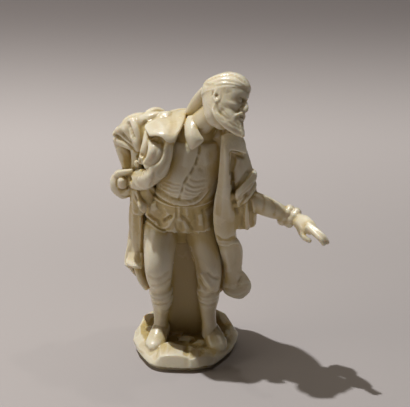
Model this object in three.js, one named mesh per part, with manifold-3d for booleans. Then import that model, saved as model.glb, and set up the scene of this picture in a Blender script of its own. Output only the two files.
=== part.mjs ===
// A glazed porcelain statuette of a stooping old player in coat and doublet, on a rocky base.
// The figure, its coat and its base are one fired piece, so they are joined into one solid.
import * as THREE from "three";
import { mergeVertices } from "three/addons/utils/BufferGeometryUtils.js";
import Module from "manifold-3d";

const wasm = await Module();
wasm.setup();

// Driving sizes, in millimetres
const figureHeight = 171; // from the top of the base to the top of the cap
const baseWidth = 58;
const baseDepth = 59;
const baseHeight = 12;
const footRimInset = 3;
const footRimHeight = 2.6;
const coatThickness = 3.4;
const collarThickness = 2.8;
const lapelThickness = 2.6;
const shirtThickness = 2.2;

// The pose is drawn in steps of a 171st of the figure's height, upwards from the top of the base
const step = figureHeight / 171;
const glazeColour = 0xe6dfc8;
const glazeRoughness = 0.18;

const { PI, abs, cos, exp, max, min, sin } = Math;
const radians = THREE.MathUtils.degToRad;

// Numbers between the stations of a form, on a Catmull-Rom curve through them
function between(stations, share) {
  const last = stations.length - 1;
  const place = min(max(share, 0), 1) * last;
  const index = min(Math.floor(place), last - 1);
  const f = place - index;
  const [p0, p1, p2, p3] = [-1, 0, 1, 2].map((k) => stations[min(max(index + k, 0), last)]);
  return p1.map((here, k) => {
    const slope = p2[k] - p0[k];
    const bend = 2 * p0[k] - 5 * here + 4 * p2[k] - p3[k];
    const twist = 3 * here - p0[k] - 3 * p2[k] + p3[k];
    return here + 0.5 * f * (slope + f * (bend + f * twist));
  });
}

// A bell curve, for a fold or dent centred on one place
function bell(value, centre, width) {
  return exp(-(((value - centre) / width) ** 2));
}

// A step that eases from 0 to 1
function ease(value, from, to) {
  const f = min(max((value - from) / (to - from), 0), 1);
  return f * f * (3 - 2 * f);
}

// The feet stand back under the coat, and what is above the hips leans forward. Each point moves
// along one slope, so what leans out also rises.
const leanSlope = 0.466;
const feetBack = 8;
const stoop = 0.1;
const hipHeight = 62;

function moved([x, y, z], out) {
  return [x, y - out, z + leanSlope * out];
}

function leaned(point) {
  const back = feetBack * (1 - ease(point.z, 36, 100));
  const out = stoop * max(point.z - hipHeight, 0) - back;
  return new THREE.Vector3(...moved(point.toArray(), out));
}

// A closed body from rings of points, with a fan over each end
function bodyFromRings(rings) {
  const size = rings[0].length;
  const points = rings.flat();
  const faces = [];
  for (let r = 0; r + 1 < rings.length; r++) {
    for (let k = 0; k < size; k++) {
      const [a, b] = [r * size + k, r * size + ((k + 1) % size)];
      faces.push(a, b, b + size, a, b + size, a + size);
    }
  }
  [rings[0], rings.at(-1)].forEach((ring, end) => {
    const first = end ? (rings.length - 1) * size : 0;
    const middle = ring.reduce((sum, p) => sum.add(p), new THREE.Vector3()).divideScalar(size);
    const hub = points.push(middle) - 1;
    for (let k = 0; k < size; k++) {
      const [a, b] = [first + k, first + ((k + 1) % size)];
      if (end) faces.push(a, b, hub);
      else faces.push(b, a, hub);
    }
  });
  const geometry = new THREE.BufferGeometry().setFromPoints(points);
  geometry.setIndex(faces);
  return geometry;
}

// A three.js geometry as a manifold solid, turned right side out
function solidOf(geometry) {
  geometry.deleteAttribute("normal");
  geometry.deleteAttribute("uv");
  const merged = mergeVertices(geometry, 1e-4);
  const vertProperties = new Float32Array(merged.getAttribute("position").array);
  const triVerts = new Uint32Array(merged.index.array);
  const make = (faces) =>
    new wasm.Manifold(new wasm.Mesh({ numProp: 3, vertProperties, triVerts: faces }));
  const made = make(triVerts);
  return made.volume() < 0 ? make(triVerts.slice().reverse()) : made;
}

// A limb or roll: ellipses carried along its stations, each [x, y, z, width, depth] in steps.
// relief(angle, share) adds to the radius, lift(angle, share) to the height, and dome rounds the
// two ends outwards, or hollows them where it is negative, by a ring at each share in slant.
function roll(stations, options = {}) {
  const { side = [1, 0, 0], rings: count = 7, segments = 10, dome = [0.5, 0.5] } = options;
  const { relief = () => 0, lift = () => 0, slant = [0.35, 0.75] } = options;
  const across = new THREE.Vector3(...side);
  const ringAt = (share, swell, shift) => {
    const [x, y, z, width, depth] = between(stations, share);
    const centre = new THREE.Vector3(x, y, z);
    const nudge = 0.02;
    const ahead = new THREE.Vector3(...between(stations, min(share + nudge, 1)).slice(0, 3));
    const behind = new THREE.Vector3(...between(stations, max(share - nudge, 0)).slice(0, 3));
    const run = ahead.sub(behind).normalize();
    const wide = across.clone().addScaledVector(run, -across.dot(run)).normalize();
    const deep = new THREE.Vector3().crossVectors(run, wide);
    centre.addScaledVector(run, (shift * (width + depth)) / 4);
    return Array.from({ length: segments }, (_, k) => {
      const angle = (2 * PI * k) / segments;
      const extra = relief(angle, share);
      const point = centre.clone();
      point.addScaledVector(wide, swell * (width / 2 + extra) * cos(angle));
      point.addScaledVector(deep, swell * (depth / 2 + extra) * sin(angle));
      point.z += lift(angle, share);
      return point;
    });
  };
  const turns = slant.map((turn) => (turn * PI) / 2);
  const startDome = turns.toReversed().map((a) => ringAt(0, cos(a), -dome[0] * sin(a)));
  const endDome = turns.map((a) => ringAt(1, cos(a), dome[1] * sin(a)));
  const body = Array.from({ length: count }, (_, r) => ringAt(r / (count - 1), 1, 0));
  const rings = [...startDome, ...body, ...endDome].map((ring) => ring.map(leaned));
  return solidOf(bodyFromRings(rings));
}

// Cloth of even thickness, in millimetres, over a surface(across, down) of points in steps
function cloth(surface, { columns, rows, thickness }) {
  const nudge = 1e-3;
  const point = (u, v) => new THREE.Vector3(...surface(u, v));
  const sideOf = (u, v, sign) => {
    const alongU = point(min(u + nudge, 1), v).sub(point(max(u - nudge, 0), v));
    const alongV = point(u, min(v + nudge, 1)).sub(point(u, max(v - nudge, 0)));
    const normal = alongU.cross(alongV).normalize();
    return point(u, v).addScaledVector(normal, (sign * thickness) / (2 * step));
  };
  const rings = Array.from({ length: rows + 1 }, (_, r) => {
    const v = r / rows;
    const front = Array.from({ length: columns + 1 }, (_, c) => sideOf(c / columns, v, 1));
    const back = Array.from({ length: columns + 1 }, (_, c) => sideOf(1 - c / columns, v, -1));
    return [...front, ...back].map(leaned);
  });
  return solidOf(bandFromRings(rings, columns + 1));
}

// Like bodyFromRings, but each end is closed by a strip between the two faces of the cloth, which
// is width points wide
function bandFromRings(rings, width) {
  const size = rings[0].length;
  const faces = [];
  for (let r = 0; r + 1 < rings.length; r++) {
    for (let k = 0; k < size; k++) {
      const [a, b] = [r * size + k, r * size + ((k + 1) % size)];
      faces.push(a, b, b + size, a, b + size, a + size);
    }
  }
  [0, (rings.length - 1) * size].forEach((first, end) => {
    for (let k = 0; k + 1 < width; k++) {
      const [a, b] = [first + k, first + k + 1];
      const [c, d] = [first + size - 1 - k, first + size - 2 - k];
      if (end) faces.push(a, b, d, a, d, c);
      else faces.push(b, a, d, d, a, c);
    }
  });
  const geometry = new THREE.BufferGeometry().setFromPoints(rings.flat());
  geometry.setIndex(faces);
  return geometry;
}

// The rocky base: a disc with broken sides and lumps of rock along its rim, drawn in to a foot
function rockyBase() {
  const segments = 28;
  const sides = 8;
  const wedge = (2 * PI) / sides;
  const flatness = (angle) => cos(wedge / 2) / cos((((angle + 0.25) % wedge) + wedge) % wedge - wedge / 2);
  const edge = (angle) => 0.3 + 0.72 * flatness(angle) + 0.015 * sin(2 * angle + 2);
  const lump = (angle) => {
    const small = 0.9 * sin(4 * angle + 0.4) + 0.6 * sin(7 * angle + 1.1) - 1;
    return small + 2 * bell(angle, 0.95, 0.35) + 2 * bell(angle, 2.5, 0.4);
  };
  const profile = [
    [footRimInset, 0, 0],
    [footRimInset, footRimHeight, 0],
    [0.8, footRimHeight + 0.5, 0],
    [0, 0.6 * baseHeight, 0.2],
    [3, 0.82 * baseHeight, 0.75],
    [8, baseHeight, 1],
    [12, 0.84 * baseHeight, 0.35],
    [18, 0.66 * baseHeight, 0],
  ];
  const rings = profile.map(([inset, height, lumps]) =>
    Array.from({ length: segments }, (_, k) => {
      const angle = (2 * PI * k) / segments;
      const reach = edge(angle);
      return new THREE.Vector3(
        (baseWidth / 2 - inset) * reach * cos(angle),
        (baseDepth / 2 - inset) * reach * sin(angle),
        height + lumps * lump(angle),
      );
    }),
  );
  return solidOf(bodyFromRings(rings));
}

// Breeches, stockings and slippers
function leg(stations) {
  const kneeBand = (angle, share) => 0.8 * bell(share, 0.6, 0.06);
  return roll(stations, { rings: 10, segments: 8, dome: [0.3, 0], slant: [0.5], relief: kneeBand });
}

const rightLegStations = [
  [-10.5, 1, 82, 20, 20],
  [-12.4, -1.6, 73, 20, 20.6],
  [-14.4, -9, 60.4, 19, 21],
  [-15, -15, 50, 16.4, 18],
  [-15, -15.6, 41.5, 14.4, 16],
  [-14.4, -12.5, 33.7, 11.8, 12.8],
  [-13.6, -10.4, 25.8, 12.4, 13.2],
  [-13.9, -9.6, 17.6, 9.2, 10.6],
  [-14.2, -10, 11, 8, 9.4],
  [-14.2, -10, 2, 8.6, 10],
];

const leftLegStations = [
  [6, -1, 82, 20, 21],
  [6.9, -3, 73.4, 20, 21],
  [9.6, -7, 59.3, 18, 19.5],
  [12.2, -11, 47.7, 15.4, 16.2],
  [12.9, -13, 39.4, 14, 14.8],
  [12.5, -12, 32.2, 11.9, 12.8],
  [12.5, -10.6, 26, 12.3, 13],
  [12.3, -10.4, 17.8, 9.2, 10.6],
  [12.8, -11.6, 11, 8.2, 9.4],
  [13.2, -12, 2, 8.8, 10],
];

function slipper(heel, toe) {
  const plan = [
    [0, 7.4, 8],
    [0.14, 9.6, 10.6],
    [0.36, 10.2, 10],
    [0.56, 10.8, 8],
    [0.76, 11, 6.6],
    [0.92, 9, 5.6],
    [1, 5.6, 4.4],
  ];
  const stations = plan.map(([share, width, height]) => [
    heel[0] + (toe[0] - heel[0]) * share,
    heel[1] + (toe[1] - heel[1]) * share,
    heel[2] + (toe[2] - heel[2]) * share + height / 2 - 0.2,
    width,
    height,
  ]);
  return roll(stations, { rings: 6, segments: 8, dome: [0.5, 0.6], slant: [0.5] });
}

// The trunk in its buttoned doublet, from the neck down to the crotch
const trunkStations = [
  [7.5, -11, 131, 15, 14],
  [6.6, -9, 126, 27, 19],
  [6.1, -8.5, 120.5, 35, 24],
  [3.9, -8.5, 110, 35, 28],
  [1.2, -8.2, 98, 34, 32],
  [-0.6, -5.8, 88, 33, 30],
  [-3, -1.5, 75, 35, 27],
  [-3, 0, 66, 31, 22],
  [-3, 0, 58, 20, 14],
];

function trunk() {
  return roll(trunkStations, { rings: 10, segments: 16, dome: [0.2, 0.3], slant: [0.5] });
}

// The rolled hem of the doublet, which sags a little at the front
function belt() {
  const count = 16;
  const [x, y, z, width, depth] = between(trunkStations, 0.628);
  const loop = Array.from({ length: count }, (_, k) => {
    const angle = (2 * PI * k) / count;
    return [x + (width / 2) * cos(angle), y + (depth / 2) * sin(angle), z + 0.8 * sin(angle), 3.2, 3.2];
  });
  return ringRoll(loop, 5);
}

// A closed roll, such as a belt or a ruffle, round a loop of stations
function ringRoll(loop, segments) {
  const count = loop.length;
  const centre = loop
    .reduce((sum, s) => sum.add(new THREE.Vector3(...s.slice(0, 3))), new THREE.Vector3())
    .divideScalar(count);
  const rings = loop.map((station, k) => {
    const here = new THREE.Vector3(...station.slice(0, 3));
    const ahead = new THREE.Vector3(...loop[(k + 1) % count].slice(0, 3));
    const behind = new THREE.Vector3(...loop[(k + count - 1) % count].slice(0, 3));
    const run = ahead.sub(behind).normalize();
    const out = here.clone().sub(centre);
    out.addScaledVector(run, -out.dot(run)).normalize();
    const up = new THREE.Vector3().crossVectors(run, out);
    return Array.from({ length: segments }, (_, s) => {
      const angle = (2 * PI * s) / segments;
      return here
        .clone()
        .addScaledVector(out, (station[3] / 2) * cos(angle))
        .addScaledVector(up, (station[4] / 2) * sin(angle));
    });
  });
  const faces = [];
  for (let r = 0; r < count; r++) {
    for (let s = 0; s < segments; s++) {
      const next = (s + 1) % segments;
      const [a, b] = [r * segments + s, r * segments + next];
      const [c, d] = [((r + 1) % count) * segments + s, ((r + 1) % count) * segments + next];
      faces.push(a, b, d, a, d, c);
    }
  }
  const geometry = new THREE.BufferGeometry().setFromPoints(rings.flat().map(leaned));
  geometry.setIndex(faces);
  return solidOf(geometry);
}

// The doublet's skirt, which flares over the hips in soft folds
function skirt() {
  const stations = [
    [-0.7, -5, 89, 31, 27],
    [-1.4, -4, 83.4, 37, 30],
    [-2.4, -3, 76.8, 41, 30.6],
    [-2.8, -2.4, 71, 43, 31],
  ];
  const opening = (angle) => bell(angle, PI / 2, 0.16);
  return roll(stations, {
    rings: 4,
    segments: 26,
    dome: [0.1, -0.15],
    slant: [0.5],
    relief: (angle, share) => share * (1.6 * cos(7 * angle + 0.5) - 1.5 * opening(angle)),
    lift: (angle, share) => share * share * (4.5 * bell(angle, PI, 0.9) - 2.2 * bell(angle, PI / 2, 0.8)),
  });
}

// The long coat: its back, in hanging flutes from the collar to a hem that rests on the base
const coatStations = [
  [5, -6, 133, 17, 11],
  [3, -5, 127, 25, 18],
  [1, -3, 115, 27, 25],
  [-2, -1.5, 98, 27, 26],
  [-3, 0, 80, 27, 25],
  [-2.5, 1, 60, 27.6, 23],
  [-2, 2, 40, 30, 20],
  [-2, 3, 24, 31, 18.5],
];

// The hanging front edge on the figure's left, from the chest to the shin
const leftEdgeStations = [
  [21.1, -18, 127.9, 8, 5],
  [21.7, -21, 116.9, 7.6, 5],
  [21.1, -22.5, 104, 9, 5],
  [21.7, -21.5, 90.8, 9.6, 5],
  [22.2, -19, 77.2, 11, 5],
  [23.9, -16, 63.5, 11.6, 5],
  [26.1, -13, 52.3, 12, 5],
  [26.9, -11, 42, 12, 5.4],
  [28.6, -9.4, 34, 15.5, 6],
  [29.4, -8.6, 29, 16.5, 6.4],
  [28.2, -8, 24.6, 11, 5],
];

function coatBack() {
  const surface = (u, v) => {
    const [x, y, z, width, depth] = between(coatStations, v);
    const wrap = min(u / 0.85, 1);
    const angle = radians(180 - 185 * wrap);
    const flute = (0.3 + 1.7 * v) * (cos(9 * angle) * 0.7 + cos(14 * angle + 1) * 0.3);
    const hem = v * v * (17 * bell(u, 0, 0.13) - 27 * bell(u, 0.43, 0.17));
    const back = [x + (width + flute) * cos(angle), y + (depth + flute) * sin(angle), z + hem];
    const [ex, ey, ez] = between(leftEdgeStations, v * 0.97);
    const f = ease(u, 0.85, 1);
    return [back[0] + (ex - back[0]) * f, back[1] + (ey - back[1]) * f, back[2] + (ez - back[2]) * f];
  };
  return cloth(surface, { columns: 27, rows: 8, thickness: coatThickness });
}

function leftEdge() {
  return roll(leftEdgeStations, { rings: 10, segments: 7, dome: [0.3, 0.3], slant: [0.5] });
}

// The hollowed mass between the legs and the coat's back, which holds the figure up on its base
function support() {
  const stations = [
    [-1, 12, 78, 30, 19],
    [-1, 10.5, 55, 31, 20],
    [-1, 8.5, 30, 30, 18],
    [-1, 8, 12, 29, 18],
    [-1, 8, -3, 32, 20],
  ];
  const relief = (angle) => -3.5 * bell(angle, PI / 2, 0.55);
  return roll(stations, { rings: 5, segments: 14, dome: [0.1, 0], slant: [0.5], relief });
}

// The coat's right front, drawn back from under the lapel to the fist on the hip
function rightFront() {
  const stations = [
    [-6.4, -17, 126, 8, 5],
    [-10.4, -20.6, 117.9, 10.4, 6.4],
    [-14.4, -20.8, 108.7, 12.4, 7.6],
    [-20, -18, 101.4, 15.5, 10],
    [-26.4, -12.6, 98.6, 15, 10.5],
    [-32.4, -7, 97, 8, 8],
  ];
  const options = { side: [1, 0, 0.6], rings: 9, segments: 9, dome: [0.3, 0.3], slant: [0.5] };
  return roll(drawnBack(stations), options);
}

// The part of the coat that hangs under the arm, in one heavy fold
function sideFold() {
  const stations = [
    [-15, -5, 125, 15, 13],
    [-18.5, -9, 115, 12.5, 12],
    [-21.5, -11, 106, 11, 10],
    [-27, -9, 99.5, 9, 9],
  ];
  return roll(drawnBack(stations), { rings: 6, slant: [0.5], relief: (angle) => 0.8 * cos(4 * angle) });
}

// The collar and both lapels, in one sheet that is bent between three curves: round the neck,
// over its crest and along its outer edge, each from the right breast to the left
const collarInner = [
  [-6, -20.5, 124.5],
  [-3.5, -15, 128],
  [-0.5, -6, 131.5],
  [2.5, 1, 133.6],
  [8, 3, 136],
  [14, 0, 136.5],
  [18, -8, 135.5],
  [20, -15, 130],
  [20.5, -20, 121],
];
const collarCrest = [
  [-9, -21, 124.5],
  [-11, -14, 128.5],
  [-7.5, -3, 133],
  [-4, 7, 131.5],
  [7, 11, 132.5],
  [17, 8, 131],
  [23, -1, 130.5],
  [26.5, -11, 127],
  [24, -21, 119],
];
const collarOuter = [
  [-11.5, -18, 121.5],
  [-18, -10, 124],
  [-13, 1, 129],
  [-8, 10, 126],
  [5, 13.5, 123],
  [16, 11, 122.5],
  [25, 3, 122],
  [29.5, -7.5, 119],
  [29, -17.5, 113.5],
];

function collar() {
  const surface = (u, v) => {
    const [inner, crest, outer] = [collarInner, collarCrest, collarOuter].map((curve) => between(curve, u));
    return inner.map((value, k) => (1 - v) ** 2 * value + 2 * v * (1 - v) * crest[k] + v * v * outer[k]);
  };
  return cloth(surface, { columns: 18, rows: 3, thickness: collarThickness });
}

// Cloth over rows of places, bent smoothly between them both ways
function patch(rows, options) {
  const surface = (u, v) => between(rows.map((row) => between(row, u)), v);
  return cloth(surface, options);
}

// The broad right lapel, which lies over the shoulder and stands off the chest at its lower edge
const lapelRows = [
  [[-14.4, 4, 131.1], [-8.9, 4, 132.0], [-3.3, 3, 132.8], [1.7, 0, 134.2]],
  [[-19.4, -3, 130.4], [-12.8, -4, 132.1], [-6.1, -5, 133.2], [0.3, -6, 133.6]],
  [[-22.2, -10, 128.7], [-15.6, -12, 130.3], [-8.9, -14, 131.2], [-2.5, -15, 130.5]],
  [[-20.0, -16.5, 126.9], [-14.4, -20, 127.9], [-10.6, -23, 125.9], [-6.1, -24, 126.1]],
];

function lapel() {
  return patch(lapelRows, { columns: 6, rows: 6, thickness: lapelThickness });
}

// The gathered head of the right sleeve beside the lapel
function sleeveHead() {
  const stations = [
    [-20.0, 0, 127.1, 9, 9],
    [-25.0, 3, 125.1, 9, 9],
    [-28.9, 5, 123.6, 7.6, 9],
  ];
  return roll(stations, { side: [0, 0, 1], rings: 4, segments: 8, slant: [0.5] });
}

// Cloth of the sleeve that closes the space between the bent arm and the side
function armpitFold() {
  const stations = [
    [-26, 1, 113, 15, 12],
    [-28, 0, 105, 10, 10],
    [-30.5, -3, 98, 7, 7],
  ];
  return roll(drawnBack(stations), { rings: 4, segments: 8, slant: [0.5] });
}

// Wide outer sleeves, with tight inner ones to the wrists
function rightSleeve() {
  const stations = [
    [-7, -3, 125, 20, 18],
    [-18, 0, 121.5, 24, 19],
    [-28, 4, 119, 20, 17],
    [-35.5, 7.5, 117.5, 12, 12],
  ];
  const relief = (angle, share) => 0.9 * cos(4 * angle + 3 * share);
  const options = { side: [0, 0, 1], rings: 6, segments: 12, dome: [0.3, 0.5], slant: [0.5] };
  return roll(stations, { ...options, relief });
}

// The fist on the hip lies back, and the left forearm reaches forward, along the slope of the lean
const fistBack = 9;
const armReach = 0.3;
const reachFrom = 33;

function drawnBack(stations) {
  return stations.map(([x, y, z, ...size]) => {
    const back = fistBack * ease(-x, 18, 32) * (1 - ease(z, 98, 118));
    return [...moved([x, y, z], -back), ...size];
  });
}

function reached(stations) {
  return stations.map(([x, y, z, ...size]) => {
    const out = armReach * max(x - reachFrom, 0);
    return [...moved([x, y, z], out), ...size];
  });
}

function rightForearm() {
  const stations = [
    [-36.6, 8, 117, 8, 8],
    [-35, 5.6, 110, 10.6, 9.6],
    [-31.6, 1.6, 103.4, 11, 9],
    [-31, -1, 98, 9, 8],
  ];
  return roll(drawnBack(stations), { rings: 6, segments: 8, slant: [0.5] });
}

function leftSleeve() {
  const stations = [
    [18.5, -8, 125, 15, 16],
    [24, -10, 117, 16.6, 17],
    [27.6, -12.5, 105, 17.4, 17],
    [30, -14, 94, 17, 16],
    [31.4, -16, 84, 14.4, 12],
    [32.8, -16.4, 73, 10.4, 8],
  ];
  const relief = (angle, share) => 1.2 * share * cos(5 * angle);
  return roll(stations, { rings: 8, segments: 15, dome: [0.4, 0.4], slant: [0.5], relief });
}

function rolledCuff() {
  const count = 14;
  const loop = Array.from({ length: count }, (_, k) => {
    const angle = (2 * PI * k) / count;
    const across = 8.6 * cos(angle);
    return [30.6 + 0.72 * across, -14 + 8.8 * sin(angle), 95.6 + 0.7 * across, 6, 6];
  });
  return ringRoll(loop, 6);
}

function leftForearm() {
  const stations = [
    [33.3, -15, 88.8, 11, 11.5],
    [40, -17, 86.6, 11.2, 11.6],
    [47.8, -19.4, 84.3, 10, 10.4],
    [53.6, -21.2, 82.4, 7.8, 8.2],
    [60, -23, 80.5, 6.4, 6.6],
  ];
  return roll(reached(stations), { side: [0, 0, 1], rings: 5, slant: [0.5] });
}

// A gathered frill round a wrist: points out from centre along two directions square to the arm
function frill(centre, along, radius) {
  const run = new THREE.Vector3(...along).normalize();
  const first = new THREE.Vector3(0, 0, 1).addScaledVector(run, -run.z).normalize();
  const second = new THREE.Vector3().crossVectors(run, first);
  const count = 12;
  const loop = Array.from({ length: count }, (_, k) => {
    const angle = (2 * PI * k) / count;
    const reach = radius + 0.5 * cos(6 * angle);
    const point = new THREE.Vector3(...centre)
      .addScaledVector(first, reach * cos(angle))
      .addScaledVector(second, reach * sin(angle));
    return [...point.toArray(), 4.2, 4.6];
  });
  return ringRoll(reached(loop), 5);
}

function finger(points, thickness, settle) {
  const stations = points.map((p, k) => [...p, thickness * (1 - 0.12 * k), thickness * (1 - 0.12 * k)]);
  return roll(settle(stations), { side: [0, 0, 1], rings: 4, segments: 6, dome: [0.5, 0.8], slant: [0.5] });
}

function leftHand() {
  const palm = [
    [61.1, -24.4, 80.5, 6.4, 6],
    [63.9, -25.6, 79, 9, 6.4],
    [66.7, -26.8, 77.2, 8.6, 5.6],
    [69.7, -28, 75, 6.6, 4.6],
  ];
  const parts = [roll(reached(palm), { side: [0.3, 0.6, 0.6], rings: 4, segments: 8, slant: [0.5] })];
  for (let k = 0; k < 4; k++) {
    const spread = k - 1.5;
    const knuckle = [69.3 + 0.3 * spread, -27 + 1.5 * spread, 75.4 + 1.2 * spread];
    const middle = [74.4 - 0.4 * abs(spread), -28.6 + 1.7 * spread, 73 + 1.3 * spread];
    const tip = [78.4 - 0.9 * abs(spread), -29.6 + 1.8 * spread, 69.4 + 1.5 * spread];
    parts.push(finger([knuckle, middle, tip], 2.7, reached));
  }
  parts.push(finger([[62.5, -26.2, 76.5], [66, -29, 71.5], [68.6, -30, 68.5]], 3, reached));
  return parts;
}

// The right hand, closed on the gathered coat
function rightHand() {
  const palm = [
    [-33, -1, 99, 9, 9],
    [-34.6, -3, 94.6, 12, 11],
    [-34.4, -3.6, 88.6, 11, 10.4],
  ];
  const options = { rings: 5, segments: 8, dome: [0.5, 0.7], slant: [0.5] };
  const parts = [roll(drawnBack(palm), options)];
  for (let k = 0; k < 4; k++) {
    const z = 96 - 3.1 * k;
    const curl = 0.5 * abs(k - 1.5);
    const points = [[-38.8 + curl, -4, z], [-37 + curl, -9, z], [-32, -10, z - 0.3]];
    parts.push(finger(points, 3.8, drawnBack));
  }
  return parts;
}

// The neck, thrust forwards, and the head in its own axes: forward, to the side and up
function neck() {
  const stations = [
    [5, -7, 126, 15, 15],
    [10.5, -12.5, 135, 12.4, 15],
    [17, -17, 144, 12, 14],
  ];
  return roll(stations, { rings: 5, slant: [0.5] });
}

const headCentre = new THREE.Vector3(21.8, -21.5, 150.5);
const headYaw = radians(54);
const headPitch = radians(16);
const headRoll = radians(33);
const headForward = new THREE.Vector3(
  sin(headYaw) * cos(headPitch),
  -cos(headYaw) * cos(headPitch),
  -sin(headPitch),
);
const levelSide = new THREE.Vector3(cos(headYaw), sin(headYaw), 0);
const levelUp = new THREE.Vector3().crossVectors(headForward, levelSide);
const tipped = (towards, away) =>
  towards.clone().multiplyScalar(cos(headRoll)).addScaledVector(away, sin(headRoll));
const headSide = tipped(levelSide, levelUp.clone().negate());
const headUp = tipped(levelUp, levelSide);

function inHead(forward, aside, up) {
  return headCentre
    .clone()
    .addScaledVector(headForward, forward)
    .addScaledVector(headSide, aside)
    .addScaledVector(headUp, up);
}

// Stations given in the head's axes, as [forward, aside, up, width, depth]
function headForm(stations, options = {}) {
  const placed = stations.map(([f, s, u, width, depth]) => [...inHead(f, s, u).toArray(), width, depth]);
  return roll(placed, { side: headSide.toArray(), ...options });
}

function skull() {
  const stations = [
    [-1.6, 0, 10, 16, 20],
    [-1, 0, 4.6, 20.6, 25],
    [-0.7, 0, 0, 20.4, 24.2],
    [0, 0, -4.6, 19, 22],
    [1, 0, -8.6, 16.6, 19],
    [3.2, 0, -11.8, 10.6, 12],
  ];
  return headForm(stations, { rings: 6, segments: 12, dome: [0.3, 0.5], slant: [0.5] });
}

// A soft cap in gathered folds, and the end of its cloth, which hangs from the nape to the collar
function cap() {
  const stations = [
    [-4, 0, 14.2, 8, 10],
    [-3.6, 0, 13, 13.6, 17],
    [-3, 0, 10.8, 18.6, 24],
    [-2.4, 0, 7.8, 21.6, 27.8],
    [-2, 0, 4.6, 22.4, 28.4],
    [-1.6, 0, 1.6, 21.2, 26.6],
  ];
  const tilt = (angle) => 5.5 * sin(angle) - 1.5 * cos(angle) + 2;
  const lift = (angle, share) => ease(share, 0.45, 1) * tilt(angle);
  return headForm(stations, { segments: 14, dome: [0.2, 0], slant: [0.5], lift });
}

function capTail() {
  const stations = [
    [11.7, -13, 151, 9, 6],
    [8.3, -9.6, 146, 8.4, 6.4],
    [5.6, -6, 140.4, 8, 6.4],
    [2.6, -3, 135.3, 6, 5.6],
  ];
  return roll(stations, { side: [-0.5, 0, 0.8], rings: 4, segments: 8, slant: [0.5] });
}

function beard() {
  const stations = [
    [2, 0, -7.6, 16, 13],
    [7, 0, -10.8, 13.4, 10.4],
    [11, 0, -12.8, 9, 7.2],
    [16, 0, -14.6, 3.2, 3],
  ];
  return headForm(stations, { rings: 5, segments: 8, dome: [0.4, 0.8], slant: [0.5] });
}

// A plain straight nose, from between the brows to the lip
function nose() {
  const stations = [
    [10.2, 0, 3.4, 2.6, 2.6],
    [11, 0, 1.4, 2.6, 3],
    [11.9, 0, -1, 3, 3.8],
    [12.2, 0, -3.2, 3.6, 4.4],
  ];
  return headForm(stations, { rings: 4, segments: 6, dome: [0.3, 0.3], slant: [0.5] });
}

// A falling point of the shirt collar
const shirtRows = [
  [[1.4, -8, 135.2], [3.3, -10, 136.4], [5.3, -12, 136.7]],
  [[-0.1, -14, 131.8], [2.8, -17, 133.2], [6.1, -17.5, 133.2]],
  [[-0.2, -18.6, 128.5], [3.9, -21.4, 129.8], [8.3, -21, 129.9]],
  [[1.1, -21, 124.7], [5.0, -23, 125.9], [10.0, -22.6, 127.0]],
  [[2.7, -22, 122.1], [3.2, -22.4, 121.7], [4.4, -22.4, 122.5]],
];

function shirtCollar() {
  return patch(shirtRows, { columns: 3, rows: 5, thickness: shirtThickness });
}

// All but the base, joined where they were drawn and then set on the top of the base
function figure() {
  const parts = [
    leg(rightLegStations),
    leg(leftLegStations),
    slipper([-13, -5.5, 0.4], [-18.6, -25.2, -1.6]),
    slipper([12.4, -6.5, 0], [19.6, -22.6, -3.6]),
    trunk(),
    belt(),
    skirt(),
    coatBack(),
    leftEdge(),
    support(),
    rightFront(),
    sideFold(),
    armpitFold(),
    collar(),
    rightSleeve(),
    rightForearm(),
    leftSleeve(),
    rolledCuff(),
    leftForearm(),
    frill([57, -22.4, 81.8], [6, -2.2, -3.4], 3.9),
    frill([59.6, -23.4, 80.4], [6, -2.2, -3.4], 3.4),
    ...leftHand(),
    ...rightHand(),
    neck(),
    skull(),
    cap(),
    capTail(),
    beard(),
    nose(),
    shirtCollar(),
    lapel(),
    sleeveHead(),
  ];
  return wasm.Manifold.union(parts).scale(step).translate([0, 0, baseHeight]);
}

// The outer skin of a solid: the small spaces shut up between its parts are filled, as clay would
function outerSkin(solid) {
  return solid.decompose().reduce((most, skin) => (skin.volume() > most.volume() ? skin : most));
}

// A manifold solid as a named mesh
function namedMesh(name, solid) {
  const made = solid.getMesh();
  const geometry = new THREE.BufferGeometry();
  const positions = new Float32Array(made.vertProperties);
  geometry.setAttribute("position", new THREE.BufferAttribute(positions, 3));
  geometry.setIndex(new THREE.BufferAttribute(new Uint32Array(made.triVerts), 1));
  geometry.computeVertexNormals();
  const material = new THREE.MeshStandardMaterial({
    color: glazeColour,
    roughness: glazeRoughness,
    metalness: 0,
  });
  const mesh = new THREE.Mesh(geometry, material);
  mesh.name = name;
  return mesh;
}

const root = new THREE.Group();
root.add(namedMesh("figure", outerSkin(figure().add(rockyBase()))));

export default root;
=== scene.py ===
from math import cos, pi, radians, sin

import bpy
import numpy as np
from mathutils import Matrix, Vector


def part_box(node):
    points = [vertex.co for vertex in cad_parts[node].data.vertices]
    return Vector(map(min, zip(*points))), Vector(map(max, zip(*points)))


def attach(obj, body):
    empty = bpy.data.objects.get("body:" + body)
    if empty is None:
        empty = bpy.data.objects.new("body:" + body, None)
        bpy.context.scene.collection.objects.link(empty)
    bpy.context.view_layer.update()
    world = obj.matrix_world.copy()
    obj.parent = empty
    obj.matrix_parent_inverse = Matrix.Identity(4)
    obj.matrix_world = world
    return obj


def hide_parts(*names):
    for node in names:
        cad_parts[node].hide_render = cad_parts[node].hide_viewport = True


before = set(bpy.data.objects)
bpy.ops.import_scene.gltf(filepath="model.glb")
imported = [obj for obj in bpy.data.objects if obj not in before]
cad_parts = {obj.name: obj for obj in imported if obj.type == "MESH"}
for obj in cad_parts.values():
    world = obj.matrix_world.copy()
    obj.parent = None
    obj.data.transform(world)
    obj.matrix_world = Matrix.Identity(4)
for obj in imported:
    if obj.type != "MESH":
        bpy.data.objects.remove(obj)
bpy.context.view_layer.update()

scene = bpy.context.scene
print("frame loaded")

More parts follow.
